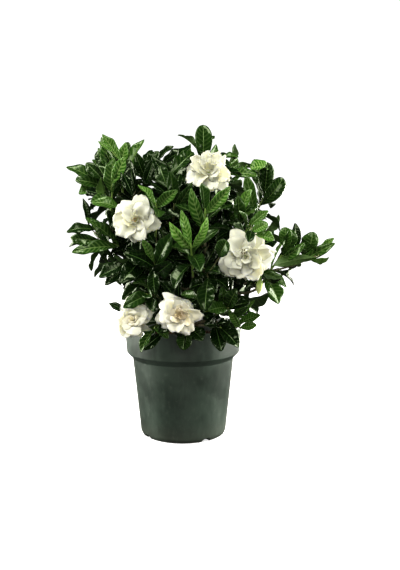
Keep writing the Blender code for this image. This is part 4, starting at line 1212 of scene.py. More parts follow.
# For each flower: petals in its spiral heart, their greatest radius and height in mm, warmth, painted
# brightness (raised for the low flowers that lie in the crown's shade), ruffling, how many anthers, how
# light they are, and their shift in mm.
HEARTS = (
    (7, 9, 8, 0.3, 0.5, 1.2, 6, 0.9, (0, 0, 0)),
    (6, 9, 8, 0.35, 0.4, 2.4, 0, 0.5, (0, 0, 0)),
    (8, 13, 11, 0.3, 0.55, 1.2, 5, 0.02, (-6, -9, 9)),
    (16, 20, 15, 0.9, 0.75, 1.2, 0, 0.5, (0, 0, 0)),
    (13, 24, 22, 0.8, 0.75, 0.8, 0, 0.5, (0, 0, 0)),
    (8, 12, 10, 0.4, 0.5, 1.2, 4, 0.6, (0, 0, 0)),
    (8, 12, 10, 0.4, 0.5, 1.2, 4, 0.6, (0, 0, 0)),
)
# Greatest cup, roll and ruffle for each whorl of petals.
WHORL_SHAPES = (
    (0.25, 0.16, 0.03),
    (0.45, 0.14, 0.035),
    (0.6, 0.12, 0.035),
    (0.7, 0.08, 0.02),
)
# Petals that differ, by flower, whorl and place in the whorl: length share, pointedness, turn round the
# flower's axis, and how far the petal is raised.
ODD_PETALS = {
    (0, 0, 0): (0.9, 0.0, 0.0, 0.0),
    (0, 0, 1): (1.05, 0.9, 0.3, 0.1),
    (2, 0, 4): (0.75, 0.0, 0.0, 0.0),
    (2, 0, 5): (0.9, 0.0, 0.0, 0.0),
    (3, 0, 2): (0.6, 0.0, 0.0, 0.0),
    (3, 1, 2): (0.7, 0.0, 0.0, 0.0),
    (3, 0, 3): (1.2, 0.9, 0.5, 0.5),
    (3, 0, 4): (0.8, 0.0, 0.0, 0.0),
    (3, 1, 3): (1.1, 0.5, 0.3, 0.2),
    (3, 1, 1): (1.15, 0.0, 0.0, 0.0),
    (4, 0, 3): (1.0, 0.6, 0.2, 0.3),
    (4, 0, 4): (0.8, 0.0, 0.0, 0.0),
}
# Where a flower's heart opens another way than its outer petals: its axis, and its foot's shift in mm.
TURNED_HEARTS = {4: ((-0.15, -0.75, 0.65), (1, -8, -2))}


def petal_look(draw, whorl, ruffling, pointed):
    cup, roll, ruffle = WHORL_SHAPES[whorl]
    return PetalLook(
        cup=cup * draw.uniform(-0.3, 1.2),
        roll=roll * draw.uniform(-0.4, 1.4),
        ruffle=ruffle * ruffling * draw.uniform(0.6, 1.5),
        phase=draw.uniform(0, 6.28),
        pointed=pointed,
        notch=draw.choice((0.0, 0.03, 0.08)) * (1 - pointed),
        lop=draw.uniform(-0.22, 0.22),
        curl_in=draw.choice((0.0, 0.0, 0.15, 0.3)),
    )


def turned_by(turn, blade):
    return blade._replace(along=turn @ blade.along, side=turn @ blade.side, up=turn @ blade.up)


def loosened(draw, blade, facing):
    """The petal turned a little from its even place in the whorl, and a little longer or shorter."""
    turn = Matrix.Rotation(draw.uniform(-0.2, 0.2), 3, facing)
    turn = turn @ Matrix.Rotation(draw.uniform(-0.22, 0.16), 3, blade.side)
    return turned_by(turn, blade)._replace(
        length=blade.length * draw.uniform(0.92, 1.1),
        width=blade.width * draw.uniform(1.05, 1.35),
        droop=blade.droop + draw.uniform(-0.3, 0.35),
        curl=blade.curl + draw.uniform(-0.4, 0.5),
        twist=blade.twist + draw.uniform(-0.45, 0.45),
        sway=draw.uniform(-0.1, 0.1),
    )


def spiral_petal(foot, axis, angle, share, high, height, phase):
    """A petal that wraps round a flower's axis, one edge a little further out than the other. Its share is 0
    for the innermost and 1 for the outermost, and high is how far out it reaches."""
    spots = 1 - (1 - np.linspace(0, 1, 11)) ** 1.4
    t, s = np.meshgrid(spots, PETAL_ACROSS, indexing="ij")
    lean, low = 0.1 + 0.35 * share, 0.25 * high
    breadth = 0.3 + 0.7 * np.sin(np.minimum(1, t / 0.55) * math.pi / 2)
    breadth = breadth * np.sqrt(np.clip(1 - np.clip((t - 0.72) / 0.28, 0, 1) ** 2.2, 0.0004, 1))
    turn = angle + (2.9 - 1.1 * share) / 2 * s * breadth + 0.35 * t
    radius = low + (high - low) * t**1.3 + 0.16 * high * s + lean * high * smooth(t, 0.6, 1.0) ** 2
    radius = radius + 0.04 * high * np.sin(phase + 5 * s + 3 * t)
    rise = np.sin(t * math.pi / 2 * 0.96) - 0.14 * s**2 + 0.07 * np.sin(phase + 4 * s) * t
    rise = height * (rise - 0.32 * lean * smooth(t, 0.75, 1.0))
    first, second = (np.array(way) for way in across(axis))
    out = first * np.cos(turn)[..., None] + second * np.sin(turn)[..., None]
    middle = np.array(foot) + out * radius[..., None] + np.array(axis) * rise[..., None]
    skin = PETAL_SKIN * 0.9 * (1 - 0.8 * np.abs(s) ** 6) * (1 - 0.6 * smooth(t, 0.8, 1.0))
    return sheet(middle, skin, skin, -out, spots, PETAL_ACROSS)


def add_sepals(piece, foot, heading, turn, count, lean, sizes, bends):
    """Narrow pointed sepals round the foot of a flower or a bud. Their sizes in mm are how far out they
    start, their length and their width."""
    reach, length, width = (size * MM for size in sizes)
    for k in range(count):
        out = around(heading, turn + 2 * math.pi * k / count)
        along = (heading + out * lean).normalized()
        up = (heading - along * heading.dot(along)).normalized()
        ways = along, up.cross(along), up
        sepal = Blade("petal", (foot + out * reach,), *ways, length, width, *bends, 0.0, 0.0)
        piece.add_petal(petal_sheet(sepal, SEPAL, 7), GREEN, (0.8, 0.9, 0, 0))


def make_flower(number, blades, materials):
    draw = random.Random(FLOWER_SEED + number)
    eye, facing, size, turn, _ = BLOOMS[number]
    eye, facing = Vector(eye) * MM, Vector(facing).normalized()
    piece = Piece(f"flower_{number + 1}")
    count, radius, height, warmth, painted_brightness, ruffling, anthers, anther_tone, shift = HEARTS[number]
    for corners, blade in blades.items():
        if blade is None:
            continue
        whorl = corners[0] // CORE_SIDES - 1
        spot = (number, whorl, corners[0] % CORE_SIDES)
        length, pointed, round_axis, raised = ODD_PETALS.get(spot, (1.0, 0.0, 0.0, 0.0))
        blade = loosened(draw, blade, facing)
        odd_turn = Matrix.Rotation(round_axis, 3, facing) @ Matrix.Rotation(-raised, 3, blade.side)
        blade = turned_by(odd_turn, blade)._replace(length=blade.length * length)
        petal = petal_sheet(blade, petal_look(draw, whorl, ruffling, pointed))
        piece.add_petal(petal, PETAL, (draw.random(), whorl / 4 * warmth, warmth, painted_brightness))
    axis, heart_shift = TURNED_HEARTS.get(number, (facing, (0, 0, 0)))
    axis = Vector(axis).normalized()
    foot = eye - axis * (4 * MM) + Vector(heart_shift) * MM
    for k in range(count):
        share = (k + 1) / count
        tall = height * MM * size * (1.0 - 0.22 * share)
        phase = draw.uniform(0, 6.28)
        petal = spiral_petal(foot, axis, 2.4 * k + turn, share, radius * MM * size * share, tall, phase)
        heart = (1.1 - share) * (0.5 + 0.5 * warmth)
        piece.add_petal(petal, PETAL, (draw.random(), heart, warmth, painted_brightness))
    stamens = eye + Vector(shift) * MM
    for k in range(anthers):
        out = around(facing, 2 * math.pi * k / anthers + draw.uniform(-0.3, 0.3))
        spread = draw.uniform(2, 5) * MM
        low = stamens + out * (0.3 * spread) + facing * (1 * MM)
        high = stamens + out * spread + facing * (draw.uniform(6, 9) * MM)
        rows = [blend(low, high, t) for t in (0, 0.4, 0.55, 0.75, 0.92, 1)]
        tone = anther_tone + draw.uniform(-0.1, 0.1)
        piece.add_rod(rows, [r * MM for r in (0.4, 0.4, 0.8, 0.95, 0.7, 0.2)], 6, ANTHER, (tone, 0, 0, 0))
    foot = eye - facing * CORE_LENGTH
    spots = np.linspace(0, 1, 8)
    rows = [foot + facing * (CORE_LENGTH * 0.95 * t) for t in spots]
    piece.add_rod(rows, (2.4 + 2.4 * spots**2) * MM * size, 12, GREEN, (0.5, 0.2, 0, 0))
    add_sepals(piece, foot, facing, turn, 6, 0.65 / 0.75, (1.5, 13, 3.4), (-0.2, -0.3, 0.4))
    piece.make(materials, "petal", f"bloom_{number + 1}")


def make_flower_bud(number, materials):
    """A long pale bud whose petals are furled round it, in a green calyx."""
    foot, pointing = BUDS[number]
    foot, pointing = Vector(foot) * MM, Vector(pointing).normalized()
    piece = Piece(f"flower_bud_{number + 1}")
    sides = 30
    spots = np.linspace(0, 1, 26)
    shape = np.interp(spots, (0, 0.12, 0.25, 0.5, 0.75, 0.93, 1.0), (0.4, 0.5, 0.62, 1.0, 0.8, 0.32, 0.05))
    angles = np.linspace(0, 2 * math.pi, sides, endpoint=False)
    furl = (5 * angles[None] + 7 * spots[:, None]) / (2 * math.pi) % 1
    radii = BUD_RADIUS * shape[:, None] * (0.9 + 0.13 * furl * smooth(spots, 0.2, 0.45)[:, None])
    rows = [foot + pointing * (BUD_LENGTH * t) for t in spots]
    piece.add_rod(rows, radii, sides, PETAL, (0.5, 0.9, 2.0, 0.5))
    add_sepals(piece, foot, pointing, 0, 5, 0.4, (1.6, 15, 3.2), (0.1, 0.2, 0.3))
    piece.make(materials, "bud", f"bud_{number + 1}")


# Stems, soil and pot

STEM_SEED = 31
CHIP_SEED = 9
CHIPS = 420
CHIP_REACH = 98 * MM


def make_stems(stems, branches, bark):
    draw = random.Random(STEM_SEED)
    piece = Piece("stems")
    trunk = [UP * z for z in np.linspace(SOIL_TOP - TRUNK_DEPTH, SOIL_TOP + TRUNK_RISE, 12)]
    radii = TRUNK_RADIUS * (0.985 - 0.13 * np.linspace(0, 1, 12) ** 2)
    piece.add_rod(trunk, radii, 16, 0, (0.5, 0, 0, 0))
    wood = [(path, STEM_RADIUS, STEM_TOP_RADIUS, 22, 0.05, 40, 12, 0.2) for path in stems]
    wood += [(path, BRANCH_RADIUS, TWIG_RADIUS, 12, 0.06, 25, 8, 0.7) for path in branches]
    for path, low, high, count, knots, pace, sides, green in wood:
        spots = np.linspace(0, 1, count)
        radii = blend(low, high, spots) * (1 + knots * np.sin(pace * spots + draw.uniform(0, 6)))
        piece.add_rod(along_path(path, spots), radii, sides, 0, (draw.random(), green, 0, 0))
    piece.make([bark], "bark", "woody_stems")


def make_chips(bark_chip, perlite):
    """Chips of bark and a few white grains of perlite on the soil."""
    draw = random.Random(CHIP_SEED)
    piece = Piece("bark_chips")
    corners = as_array([(x, y, z) for z in (-1, 1) for y in (-1, 1) for x in (-1, 1)])
    quads = np.array([(0, 2, 3, 1), (4, 5, 7, 6), (0, 1, 5, 4), (2, 6, 7, 3), (0, 4, 6, 2), (1, 3, 7, 5)])
    for k in range(CHIPS):
        angle, radius = draw.uniform(0, 2 * math.pi), CHIP_REACH * math.sqrt(draw.random())
        if radius < TRUNK_RADIUS + 4 * MM:
            continue
        white = k % 7 == 0
        if white:
            sizes = (1.6, 1.5, 1.4)
        else:
            sizes = draw.uniform(3, 7), draw.uniform(1.8, 3.5), draw.uniform(0.7, 1.4)
        uneven = [[draw.uniform(0.7, 1.1) for _ in range(3)] for _ in corners]
        shape = corners * np.array(uneven) * np.array(sizes) * MM
        turned = Matrix.Rotation(draw.uniform(0, 6.28), 3, "Z")
        turned = turned @ Matrix.Rotation(draw.uniform(-0.5, 0.5), 3, "X")
        height = SOIL_TOP + draw.uniform(-1.5, 1.5) * MM
        points = shape @ np.array(turned).T + (radius * math.cos(angle), radius * math.sin(angle), height)
        piece.add(points, quads, int(white), np.zeros((8, 2)), (draw.random(), 0, 0, 0))
    made = piece.make([bark_chip, perlite], "soil")
    made.data.shade_flat()


# The pot's rolled rim, how far it bulges past the collar, the cut at the heel, and how soft its edges are.
RIM_WIDTH = 2.6 * MM
RIM_DEPTH = 4.5 * MM
RIM_BULGE = 0.3 * MM
HEEL_CUT = 2.4 * MM
EDGE = 1.2 * MM
EDGE_STEPS = 4
SPIN_STEPS = 128
NOTCH_REACH = 30 * MM


def rounded(profile):
    """The profile with its inner corners rounded."""
    found = [profile[0]]
    for before, corner, after in zip(profile, profile[1:], profile[2:]):
        corner, before, after = Vector(corner), Vector(before), Vector(after)
        cut = min(EDGE, (before - corner).length / 2.5, (after - corner).length / 2.5)
        start = corner + (before - corner).normalized() * cut
        end = corner + (after - corner).normalized() * cut
        soft = Path(start, corner, end)
        found += [tuple(on_path(soft, k / EDGE_STEPS)) for k in range(EDGE_STEPS + 1)]
    return found + [profile[-1]]


def inner_radius(z):
    """Radius of the pot's inside at a height above its heel."""
    heights, radii = (HEEL, SHOULDER, COLLAR_LOW, POT_HEIGHT), [radius for _, radius in POT_OUTLINE]
    return float(np.interp(z, heights, radii)) - WALL


def mesh_of(bm, name):
    mesh = bpy.data.meshes.new(name)
    bm.to_mesh(mesh)
    bm.free()
    return mesh


def make_pot(plastic):
    """Tapered wall, collar with a chamfer under it, rolled rim, and notches that drain the heel."""
    profile = rounded([
        (0, 0),
        (FOOT_RADIUS, 0),
        (HEEL_RADIUS - HEEL_CUT, HEEL_CUT),
        (HEEL_RADIUS, HEEL),
        (SHOULDER_RADIUS, SHOULDER),
        (COLLAR_LOW_RADIUS, COLLAR_LOW),
        (RIM_RADIUS - RIM_BULGE, POT_HEIGHT - 6 * MM),
        (RIM_RADIUS, POT_HEIGHT - RIM_DEPTH),
        (RIM_RADIUS, POT_HEIGHT),
        (RIM_RADIUS - RIM_WIDTH, POT_HEIGHT),
        (inner_radius(POT_HEIGHT - 3 * MM), POT_HEIGHT - 4 * MM),
        (inner_radius(COLLAR_LOW), COLLAR_LOW),
        (inner_radius(SHOULDER), SHOULDER),
        (inner_radius(HEEL), HEEL),
        (HEEL_RADIUS - 7 * MM, FLOOR),
        (0, FLOOR),
    ])
    bm = bmesh.new()
    corners = [bm.verts.new((radius, 0, height)) for radius, height in profile]
    edges = [bm.edges.new(pair) for pair in zip(corners, corners[1:])]
    turn = dict(cent=(0, 0, 0), axis=(0, 0, 1), angle=2 * math.pi, steps=SPIN_STEPS, use_merge=True)
    bmesh.ops.spin(bm, geom=corners + edges, **turn)
    bmesh.ops.remove_doubles(bm, verts=bm.verts, dist=0.01 * MM)
    bmesh.ops.recalc_face_normals(bm, faces=bm.faces)
    pot = keep("nursery_pot", mesh_of(bm, "nursery_pot"), "pot", "pot")
    cutters = bpy.data.collections.new("notches")
    bpy.context.scene.collection.children.link(cutters)
    stretched = Matrix.Diagonal((NOTCH_REACH, NOTCH_WIDTH, 2 * NOTCH_HEIGHT, 1))
    lying = stretched @ Matrix.Rotation(math.pi / 2, 4, "Y")
    for k in range(NOTCH_COUNT):
        bm = bmesh.new()
        bmesh.ops.create_cone(bm, cap_ends=True, segments=32, radius1=0.5, radius2=0.5, depth=1)
        turned = Matrix.Rotation(NOTCH_TURN + 2 * math.pi * k / NOTCH_COUNT, 4, "Z")
        bm.transform(turned @ Matrix.Translation((HEEL_RADIUS - 3 * MM, 0, 0)) @ lying)
        cutters.objects.link(bpy.data.objects.new("notch", mesh_of(bm, "notch")))
    modifier = pot.modifiers.new("notches", "BOOLEAN")
    modifier.operation, modifier.solver = "DIFFERENCE", "EXACT"
    modifier.operand_type, modifier.collection = "COLLECTION", cutters
    bpy.context.view_layer.update()
    graph = bpy.context.evaluated_depsgraph_get()
    pot.data = bpy.data.meshes.new_from_object(pot.evaluated_get(graph))
    pot.modifiers.clear()
    for cutter in list(cutters.objects):
        bpy.data.objects.remove(cutter)
    bpy.data.collections.remove(cutters)
    dress(pot, plastic)
    pot.data.shade_smooth()
    pot.data.set_sharp_from_angle(angle=math.radians(40))


# Materials


class Finish:
    """A material whose nodes are added one after another. A value is a number, a colour or a socket."""

    def __init__(self, name):
        self.material = bpy.data.materials.new(name)
        self.material.use_nodes = True
        self.tree = self.material.node_tree
        self.shader = self.tree.nodes["Principled BSDF"]

    def fill(self, socket, value):
        if isinstance(value, bpy.types.NodeSocket):
            self.tree.links.new(value, socket)
        elif isinstance(value, tuple) and len(value) == 3 and socket.type == "RGBA":
            socket.default_value = (*value, 1)
        else:
            socket.default_value = value

    def node(self, kind, inputs=(), **settings):
        """The outputs of a new node."""
        made = self.tree.nodes.new("ShaderNode" + kind)
        for key, value in settings.items():
            setattr(made, key, value)
        for key, value in inputs.items() if isinstance(inputs, dict) else enumerate(inputs):
            self.fill(made.inputs[key], value)
        return made.outputs

    def math(self, operation, *values):
        return self.node("Math", values, operation=operation)[0]

    def times(self, a, b):
        return self.math("MULTIPLY", a, b)

    def plus(self, a, b):
        return self.math("ADD", a, b)

    def ramp(self, value, low, high, to_low=0.0, to_high=1.0):
        return self.node("MapRange", (value, low, high, to_low, to_high), interpolation_type="SMOOTHSTEP")[0]

    def mix(self, factor, a, b):
        return self.node("Mix", {0: factor, 6: a, 7: b}, data_type="RGBA")[2]

    def lay(self, colour, factor, share, over):
        """The colour with a share of another over it, as far as the factor goes."""
        return self.mix(self.times(factor, share), colour, over)

    def place(self):
        return self.node("TexCoord")["Object"]

    def noise(self, scale, detail=2.0, roughness=0.5, place=None):
        values = {"Vector": place or self.place(), "Scale": scale, "Detail": detail, "Roughness": roughness}
        return self.node("TexNoise", values)[0]

    def tone(self):
        """The part's own four numbers."""
        made = self.node("Attribute", attribute_name="tone")
        return *self.node("SeparateXYZ", (made["Vector"],)), made["Alpha"]

    def blade_place(self):
        """How far along a blade and how far from its middle, each from 0 to 1."""
        along, across, _ = self.node("SeparateXYZ", (self.node("UVMap", uv_map="blade_map")[0],))
        return along, self.times(self.math("ABSOLUTE", self.math("SUBTRACT", across, 0.5)), 2.0)

    def from_vein(self, along, off, veins):
        """How far from the nearest side vein: 0 on it and 0.5 midway to the next."""
        bent = self.times(self.math("POWER", off, 1.25), 0.15)
        phase = self.times(self.math("SUBTRACT", along, bent), self.times(veins, 20.0))
        return self.math("ABSOLUTE", self.math("SUBTRACT", self.math("FRACT", self.plus(phase, 0.5)), 0.5))

    def finish(self, colour, roughness, bump=None, **values):
        self.fill(self.shader.inputs["Base Color"], colour)
        self.fill(self.shader.inputs["Roughness"], roughness)
        for key, value in values.items():
            self.shader.inputs[key.replace("_", " ")].default_value = value
        if bump:
            height, strength, distance = bump
            made = self.node("Bump", {"Strength": strength, "Distance": distance, "Height": height})
            self.fill(self.shader.inputs["Normal"], made[0])
        return self.material


def leaf_finish():
    """Glossy upper face: dark between paler side veins, the ladder partly the leaf's own colour and partly
    painted sheen on the veins and painted shade between them, with a pale midrib and a thin pale margin.
    Leaves of low tone come out near black, painted shade deep in the crown.
    """
    f = Finish("leaf_top")
    tone, young, gloss, veins = f.tone()
    along, off = f.blade_place()
    fine = f.noise(420, 2)
    # The old colour's darkest end, reached where a leaf's tone is held low, is painted shade for leaves deep
    # in the crown.
    old = f.mix(tone, (0.001, 0.0045, 0.001), (0.006, 0.026, 0.003))
    fresh = f.mix(tone, (0.036, 0.125, 0.013), (0.1, 0.245, 0.03))
    colour = f.mix(f.math("POWER", young, 1.5), old, fresh)
    colour = f.mix(f.ramp(f.noise(45, 3), 0.35, 0.75, 0.0, 0.05), colour, fresh)
    crest = f.from_vein(along, off, veins)
    inside = f.ramp(off, 0.97, 0.6)
    # Darker between the side veins: partly the leaf's own colour, partly painted shade of the quilted
    # relief.
    between_dark_and_shade = f.times(f.ramp(crest, 0.3, 0.5), f.times(young, inside))
    colour = f.lay(colour, between_dark_and_shade, 0.6, (0.012, 0.05, 0.004))
    # Wide pale band on each side vein: partly the vein's own colour, partly painted sheen of the quilted
    # surface.
    vein_and_sheen = f.plus(f.times(f.ramp(crest, 0.34, 0.04), young), f.ramp(crest, 0.12, 0.02, 0.0, 0.16))
    pale = f.mix(young, (0.05, 0.11, 0.025), (0.31, 0.45, 0.15))
    colour = f.lay(colour, f.times(vein_and_sheen, inside), 0.62, pale)
    colour = f.lay(colour, f.ramp(off, 0.075, 0.02), 0.85, pale)
    colour = f.lay(colour, f.ramp(off, 0.93, 0.99), 0.55, pale)
    rough = f.plus(f.ramp(gloss, 0, 1, 0.09, 0.21), f.ramp(fine, 0.3, 0.7, -0.03, 0.06))
    shine = dict(Specular_IOR_Level=0.36, Specular_Tint=(0.82, 1, 0.66, 1))
    return f.finish(colour, rough, (fine, 0.12, 0.0004), **shine)


def underside_finish():
    f = Finish("leaf_underside")
    tone, young, _, veins = f.tone()
    along, off = f.blade_place()
    # Darker with a low tone, which on inner leaves and shaded shoots is painted shade.
    old = f.mix(tone, (0.018, 0.042, 0.01), (0.04, 0.08, 0.018))
    base = f.mix(young, old, (0.13, 0.25, 0.05))
    lines = f.ramp(f.from_vein(along, off, veins), 0.1, 0.0)
    lines = f.math("MAXIMUM", lines, f.ramp(off, 0.1, 0.03))
    lines = f.math("MAXIMUM", lines, f.ramp(off, 0.93, 0.99))
    colour = f.lay(base, lines, 0.4, f.mix(young, (0.1, 0.16, 0.05), (0.26, 0.37, 0.13)))
    return f.finish(colour, 0.6, (f.noise(500, 2), 0.15, 0.0004), Specular_IOR_Level=0.25)


def twig_finish():
    f = Finish("green_twig")
    tone, young, _, _ = f.tone()
    woody = f.mix(f.noise(160, 3), (0.05, 0.055, 0.02), (0.1, 0.095, 0.04))
    colour = f.mix(f.ramp(young, 0.15, 0.75), woody, f.mix(tone, (0.14, 0.24, 0.05), (0.25, 0.36, 0.09)))
    return f.finish(colour, 0.5, (f.noise(300, 2), 0.2, 0.0005), Specular_IOR_Level=0.3)


def petal_finish():
    """White, whiter where a flower has more painted brightness, yellower towards the heart and at each
    petal's claw, the claw partly its own yellow and partly painted shade where the petals overlap, with
    faint streaks. Green for a bud.
    """
    f = Finish("petal_white")
    tone, heart, warmth, painted_brightness = f.tone()
    along, off = f.blade_place()
    white = f.mix(tone, (0.55, 0.56, 0.46), (0.62, 0.63, 0.53))
    # Painted light: petals of flowers with more painted brightness are whiter, to make up for the crown's
    # shade over them.
    white = f.mix(f.ramp(painted_brightness, 0.4, 1.0), white, (0.87, 0.88, 0.75))
    cream = f.mix(tone, (0.74, 0.73, 0.54), (0.7, 0.67, 0.46))
    peach = f.mix(f.ramp(warmth, 0.7, 1.0), cream, (0.74, 0.57, 0.33))
    colour = f.mix(f.ramp(heart, 0.0, 1.0), white, peach)
    # Yellower, darker claw: partly the petal's own base colour, partly painted shade where the petals
    # overlap.
    colour = f.lay(colour, f.ramp(along, 0.6, 0.1), 0.42, (0.62, 0.6, 0.3))
    pale_green = f.mix(f.ramp(along, 0.15, 0.9), (0.3, 0.46, 0.1), (0.6, 0.68, 0.3))
    colour = f.mix(f.ramp(warmth, 1.2, 2.0), colour, pale_green)
    streak = f.math("SINE", f.times(off, 60.0))
    colour = f.lay(colour, f.ramp(streak, 0.2, 1.0), 0.06, (0.6, 0.6, 0.4))
    rim = f.math("MAXIMUM", f.ramp(off, 0.93, 1.0), f.ramp(along, 0.97, 1.0))
    colour = f.lay(colour, rim, 0.12, (0.7, 0.6, 0.36))
    glow = dict(Subsurface_Weight=0.35, Subsurface_Scale=0.004, Subsurface_Radius=(1.0, 0.9, 0.5))
    bump = f.noise(250, 3), 0.12, 0.0006
    return f.finish(colour, 0.55, bump, Specular_IOR_Level=0.25, Sheen_Weight=0.05, **glow)


def calyx_finish():
    f = Finish("calyx_green")
    along, _ = f.blade_place()
    colour = f.mix(f.ramp(along, 0.1, 0.9), (0.1, 0.2, 0.035), (0.3, 0.4, 0.12))
    return f.finish(colour, 0.5, Specular_IOR_Level=0.3)


def anther_finish():
    f = Finish("anther_tan")
    colour = f.mix(f.tone()[0], (0.04, 0.02, 0.01), (0.7, 0.52, 0.22))
    return f.finish(colour, 0.7, Specular_IOR_Level=0.2)


def bark_finish():
    f = Finish("stem_bark")
    young = f.tone()[1]
    streaks = f.noise(60, 6, 0.65)
    flecks = f.noise(380, 3, 0.6)
    grey = f.mix(f.ramp(streaks, 0.3, 0.7), (0.055, 0.045, 0.03), (0.19, 0.165, 0.12))
    grey = f.lay(grey, f.ramp(flecks, 0.55, 0.75), 0.5, (0.28, 0.26, 0.2))
    colour = f.lay(grey, young, 0.55, (0.09, 0.1, 0.035))
    height = f.plus(streaks, f.times(flecks, 0.5))
    return f.finish(colour, 0.8, (height, 0.5, 0.0012), Specular_IOR_Level=0.25)


def soil_finish():
    f = Finish("potting_mix")
    grains = f.node("TexVoronoi", {"Vector": f.place(), "Scale": 190.0})["Color"]
    light = f.noise(70, 5, 0.6)
    shade = f.node("SeparateColor", (grains,))[0]
    colour = f.mix(f.ramp(shade, 0.1, 0.9), (0.013, 0.009, 0.006), (0.06, 0.04, 0.025))
    colour = f.lay(colour, f.ramp(light, 0.4, 0.7), 0.4, (0.09, 0.06, 0.035))
    return f.finish(colour, 0.92, (f.plus(shade, light), 0.8, 0.002), Specular_IOR_Level=0.15)


def chip_finish():
    f = Finish("bark_chip")
    colour = f.mix(f.tone()[0], (0.03, 0.018, 0.01), (0.13, 0.075, 0.04))
    return f.finish(colour, 0.85, (f.noise(220, 4), 0.5, 0.001), Specular_IOR_Level=0.2)


def perlite_finish():
    f = Finish("perlite")
    return f.finish((0.75, 0.74, 0.7), 0.9, (f.noise(600, 3), 0.4, 0.0006), Specular_IOR_Level=0.2)


def pot_finish():
    """Dark green moulded plastic, satin, clouded by handling, with faint runs down it and dust low down."""
    f = Finish("pot_plastic")
    cloud = f.noise(14, 5, 0.6)
    scuff = f.noise(110, 8, 0.72)
    place = f.place()
    stretched = f.node("VectorMath", (place, (1.0, 1.0, 0.12)), operation="MULTIPLY")[0]
    runs = f.noise(75, 4, 0.6, stretched)
    low = f.ramp(f.node("SeparateXYZ", (place,))[2], 0.05, 0.0)
    colour = f.mix(f.ramp(cloud, 0.35, 0.65), (0.016, 0.03, 0.021), (0.036, 0.061, 0.044))
    colour = f.lay(colour, f.ramp(runs, 0.52, 0.75), 0.16, (0.12, 0.17, 0.13))
    colour = f.lay(colour, f.ramp(scuff, 0.56, 0.7), 0.16, (0.2, 0.23, 0.19))
    colour = f.lay(colour, low, 0.14, (0.16, 0.15, 0.12))
    rough = f.plus(f.ramp(cloud, 0.3, 0.7, 0.33, 0.45), f.ramp(scuff, 0.5, 0.8, 0.0, 0.18))
    shine = dict(Specular_IOR_Level=1.0, Coat_Weight=0.3, Coat_Roughness=0.45)
    return f.finish(colour, rough, (f.noise(900, 2), 0.06, 0.0003), **shine)


def dress(piece, material):
    piece.data.materials.clear()
    piece.data.materials.append(material)


# Stage, light and camera

FLOOR_REACH = 8.0
ROOM_LIGHT = 0.025
EXPOSURE = 0.2
GAMMA = 0.86
CAMERA_PLACE = (0.0316, -1.5, 0.47)
CAMERA_TILT = math.radians(90 - 7.16)
FOCAL_LENGTH = 51.2
SENSOR_WIDTH = 36
# Softboxes: place and target in metres, width, height and power in watts.
LIGHTS = (
    ((-1.55, 0.1, 0.55), (0, 0, 0.2), 1.1, 1.3, 60),
    ((1.5, 0.25, 0.55), (0, 0, 0.2), 1.2, 1.3, 72),
    ((-0.35, -1.3, 2.1), (0, 0, 0.36), 1.1, 0.9, 46),
    ((0.2, -1.9, 0.7), (0, 0, 0.3), 1.0, 0.8, 16),
    ((-0.8, 1.3, 0.2), (0, 0, 0.1), 0.7, 0.35, 14),
    ((1.0, 1.2, 0.2), (0, 0, 0.1), 0.8, 0.35, 20),
)


def make_floor():
    """A pale floor that glows white to the camera alone, the glow weaker near the pot so that it is brighter
    further out, and throws little light back on the plant.
    """
    mesh = bpy.data.meshes.new("floor")
    corners = [(x * FLOOR_REACH, y * FLOOR_REACH, 0) for x, y in ((-1, -1), (1, -1), (1, 1), (-1, 1))]
    mesh.from_pydata(corners, [], [(0, 1, 2, 3)])
    f = Finish("floor_white")
    seen = f.node("LightPath")["Is Camera Ray"]
    colour = f.mix(seen, (0.05, 0.05, 0.05), (0.8, 0.8, 0.8))
    mesh.materials.append(f.finish(colour, 0.9, Specular_IOR_Level=0.0, Emission_Color=(1, 1, 1, 1)))
    away = f.node("VectorMath", (f.place(),), operation="LENGTH")["Value"]
    # Painted light: the floor glows for camera rays, from 0.6 near the pot to 1.0 further out.
    f.fill(f.shader.inputs["Emission Strength"], f.times(seen, f.ramp(away, 0.1, 0.7, 0.6, 1.0)))
    link("floor", mesh)


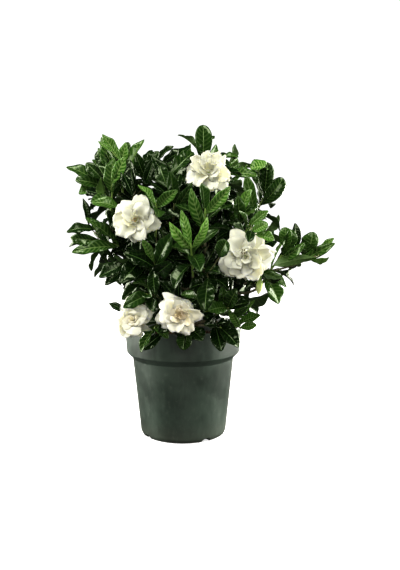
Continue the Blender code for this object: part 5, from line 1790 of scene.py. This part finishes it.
def make_world():
    """White to look at, and dim as a light."""
    world = bpy.data.worlds.new("studio")
    bpy.context.scene.world = world
    world.use_nodes = True
    tree = world.node_tree
    tree.nodes.clear()
    path, room, seen, mixed, out = (
        tree.nodes.new("ShaderNode" + kind)
        for kind in ("LightPath", "Background", "Background", "MixShader", "OutputWorld")
    )
    seen.inputs[0].default_value = (1, 1, 1, 1)
    room.inputs[0].default_value = (0.95, 0.98, 1, 1)
    room.inputs[1].default_value = ROOM_LIGHT
    for k, source in enumerate((path.outputs["Is Camera Ray"], room.outputs[0], seen.outputs[0])):
        tree.links.new(source, mixed.inputs[k])
    tree.links.new(mixed.outputs[0], out.inputs[0])


def add_light(place, target, width, height, power):
    light = bpy.data.lights.new("softbox", "AREA")
    light.shape, light.size, light.size_y, light.energy = "RECTANGLE", width, height, power
    light.color = (1, 0.97, 0.9)
    made = link("softbox", light)
    made.location = place
    made.rotation_mode = "QUATERNION"
    made.rotation_quaternion = (Vector(target) - Vector(place)).to_track_quat("-Z", "Y")


def add_camera():
    lens = bpy.data.cameras.new("camera")
    lens.sensor_width, lens.lens = SENSOR_WIDTH, FOCAL_LENGTH
    made = link("camera", lens)
    made.location, made.rotation_euler = CAMERA_PLACE, (CAMERA_TILT, 0, 0)
    bpy.context.scene.camera = made


def main():
    for leftover in list(bpy.data.objects):
        bpy.data.objects.remove(leftover)
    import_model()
    shoots = all_shoots()
    stems, branches, blooms, sprays = grow_plant(shoots)
    leaves = [leaf_finish(), underside_finish(), twig_finish()]
    flowers = [petal_finish(), calyx_finish(), anther_finish()]
    for k, (shoot, blades) in enumerate(zip(shoots, sprays)):
        make_spray(k + 1, shoot, blades, leaves)
    make_inner_leaves(stems, branches, leaves)
    make_single_leaves(stems, branches, shoots, leaves)
    for number, blades in enumerate(blooms):
        make_flower(number, blades, flowers)
    for number in range(len(BUDS)):
        make_flower_bud(number, flowers)
    make_stems(stems, branches, bark_finish())
    make_chips(chip_finish(), perlite_finish())
    make_pot(pot_finish())
    dress(bpy.data.objects["soil"], soil_finish())
    make_floor()
    make_world()
    for light in LIGHTS:
        add_light(*light)
    add_camera()
    view = bpy.context.scene.view_settings
    view.view_transform, view.exposure, view.gamma = "Standard", EXPOSURE, GAMMA


main()
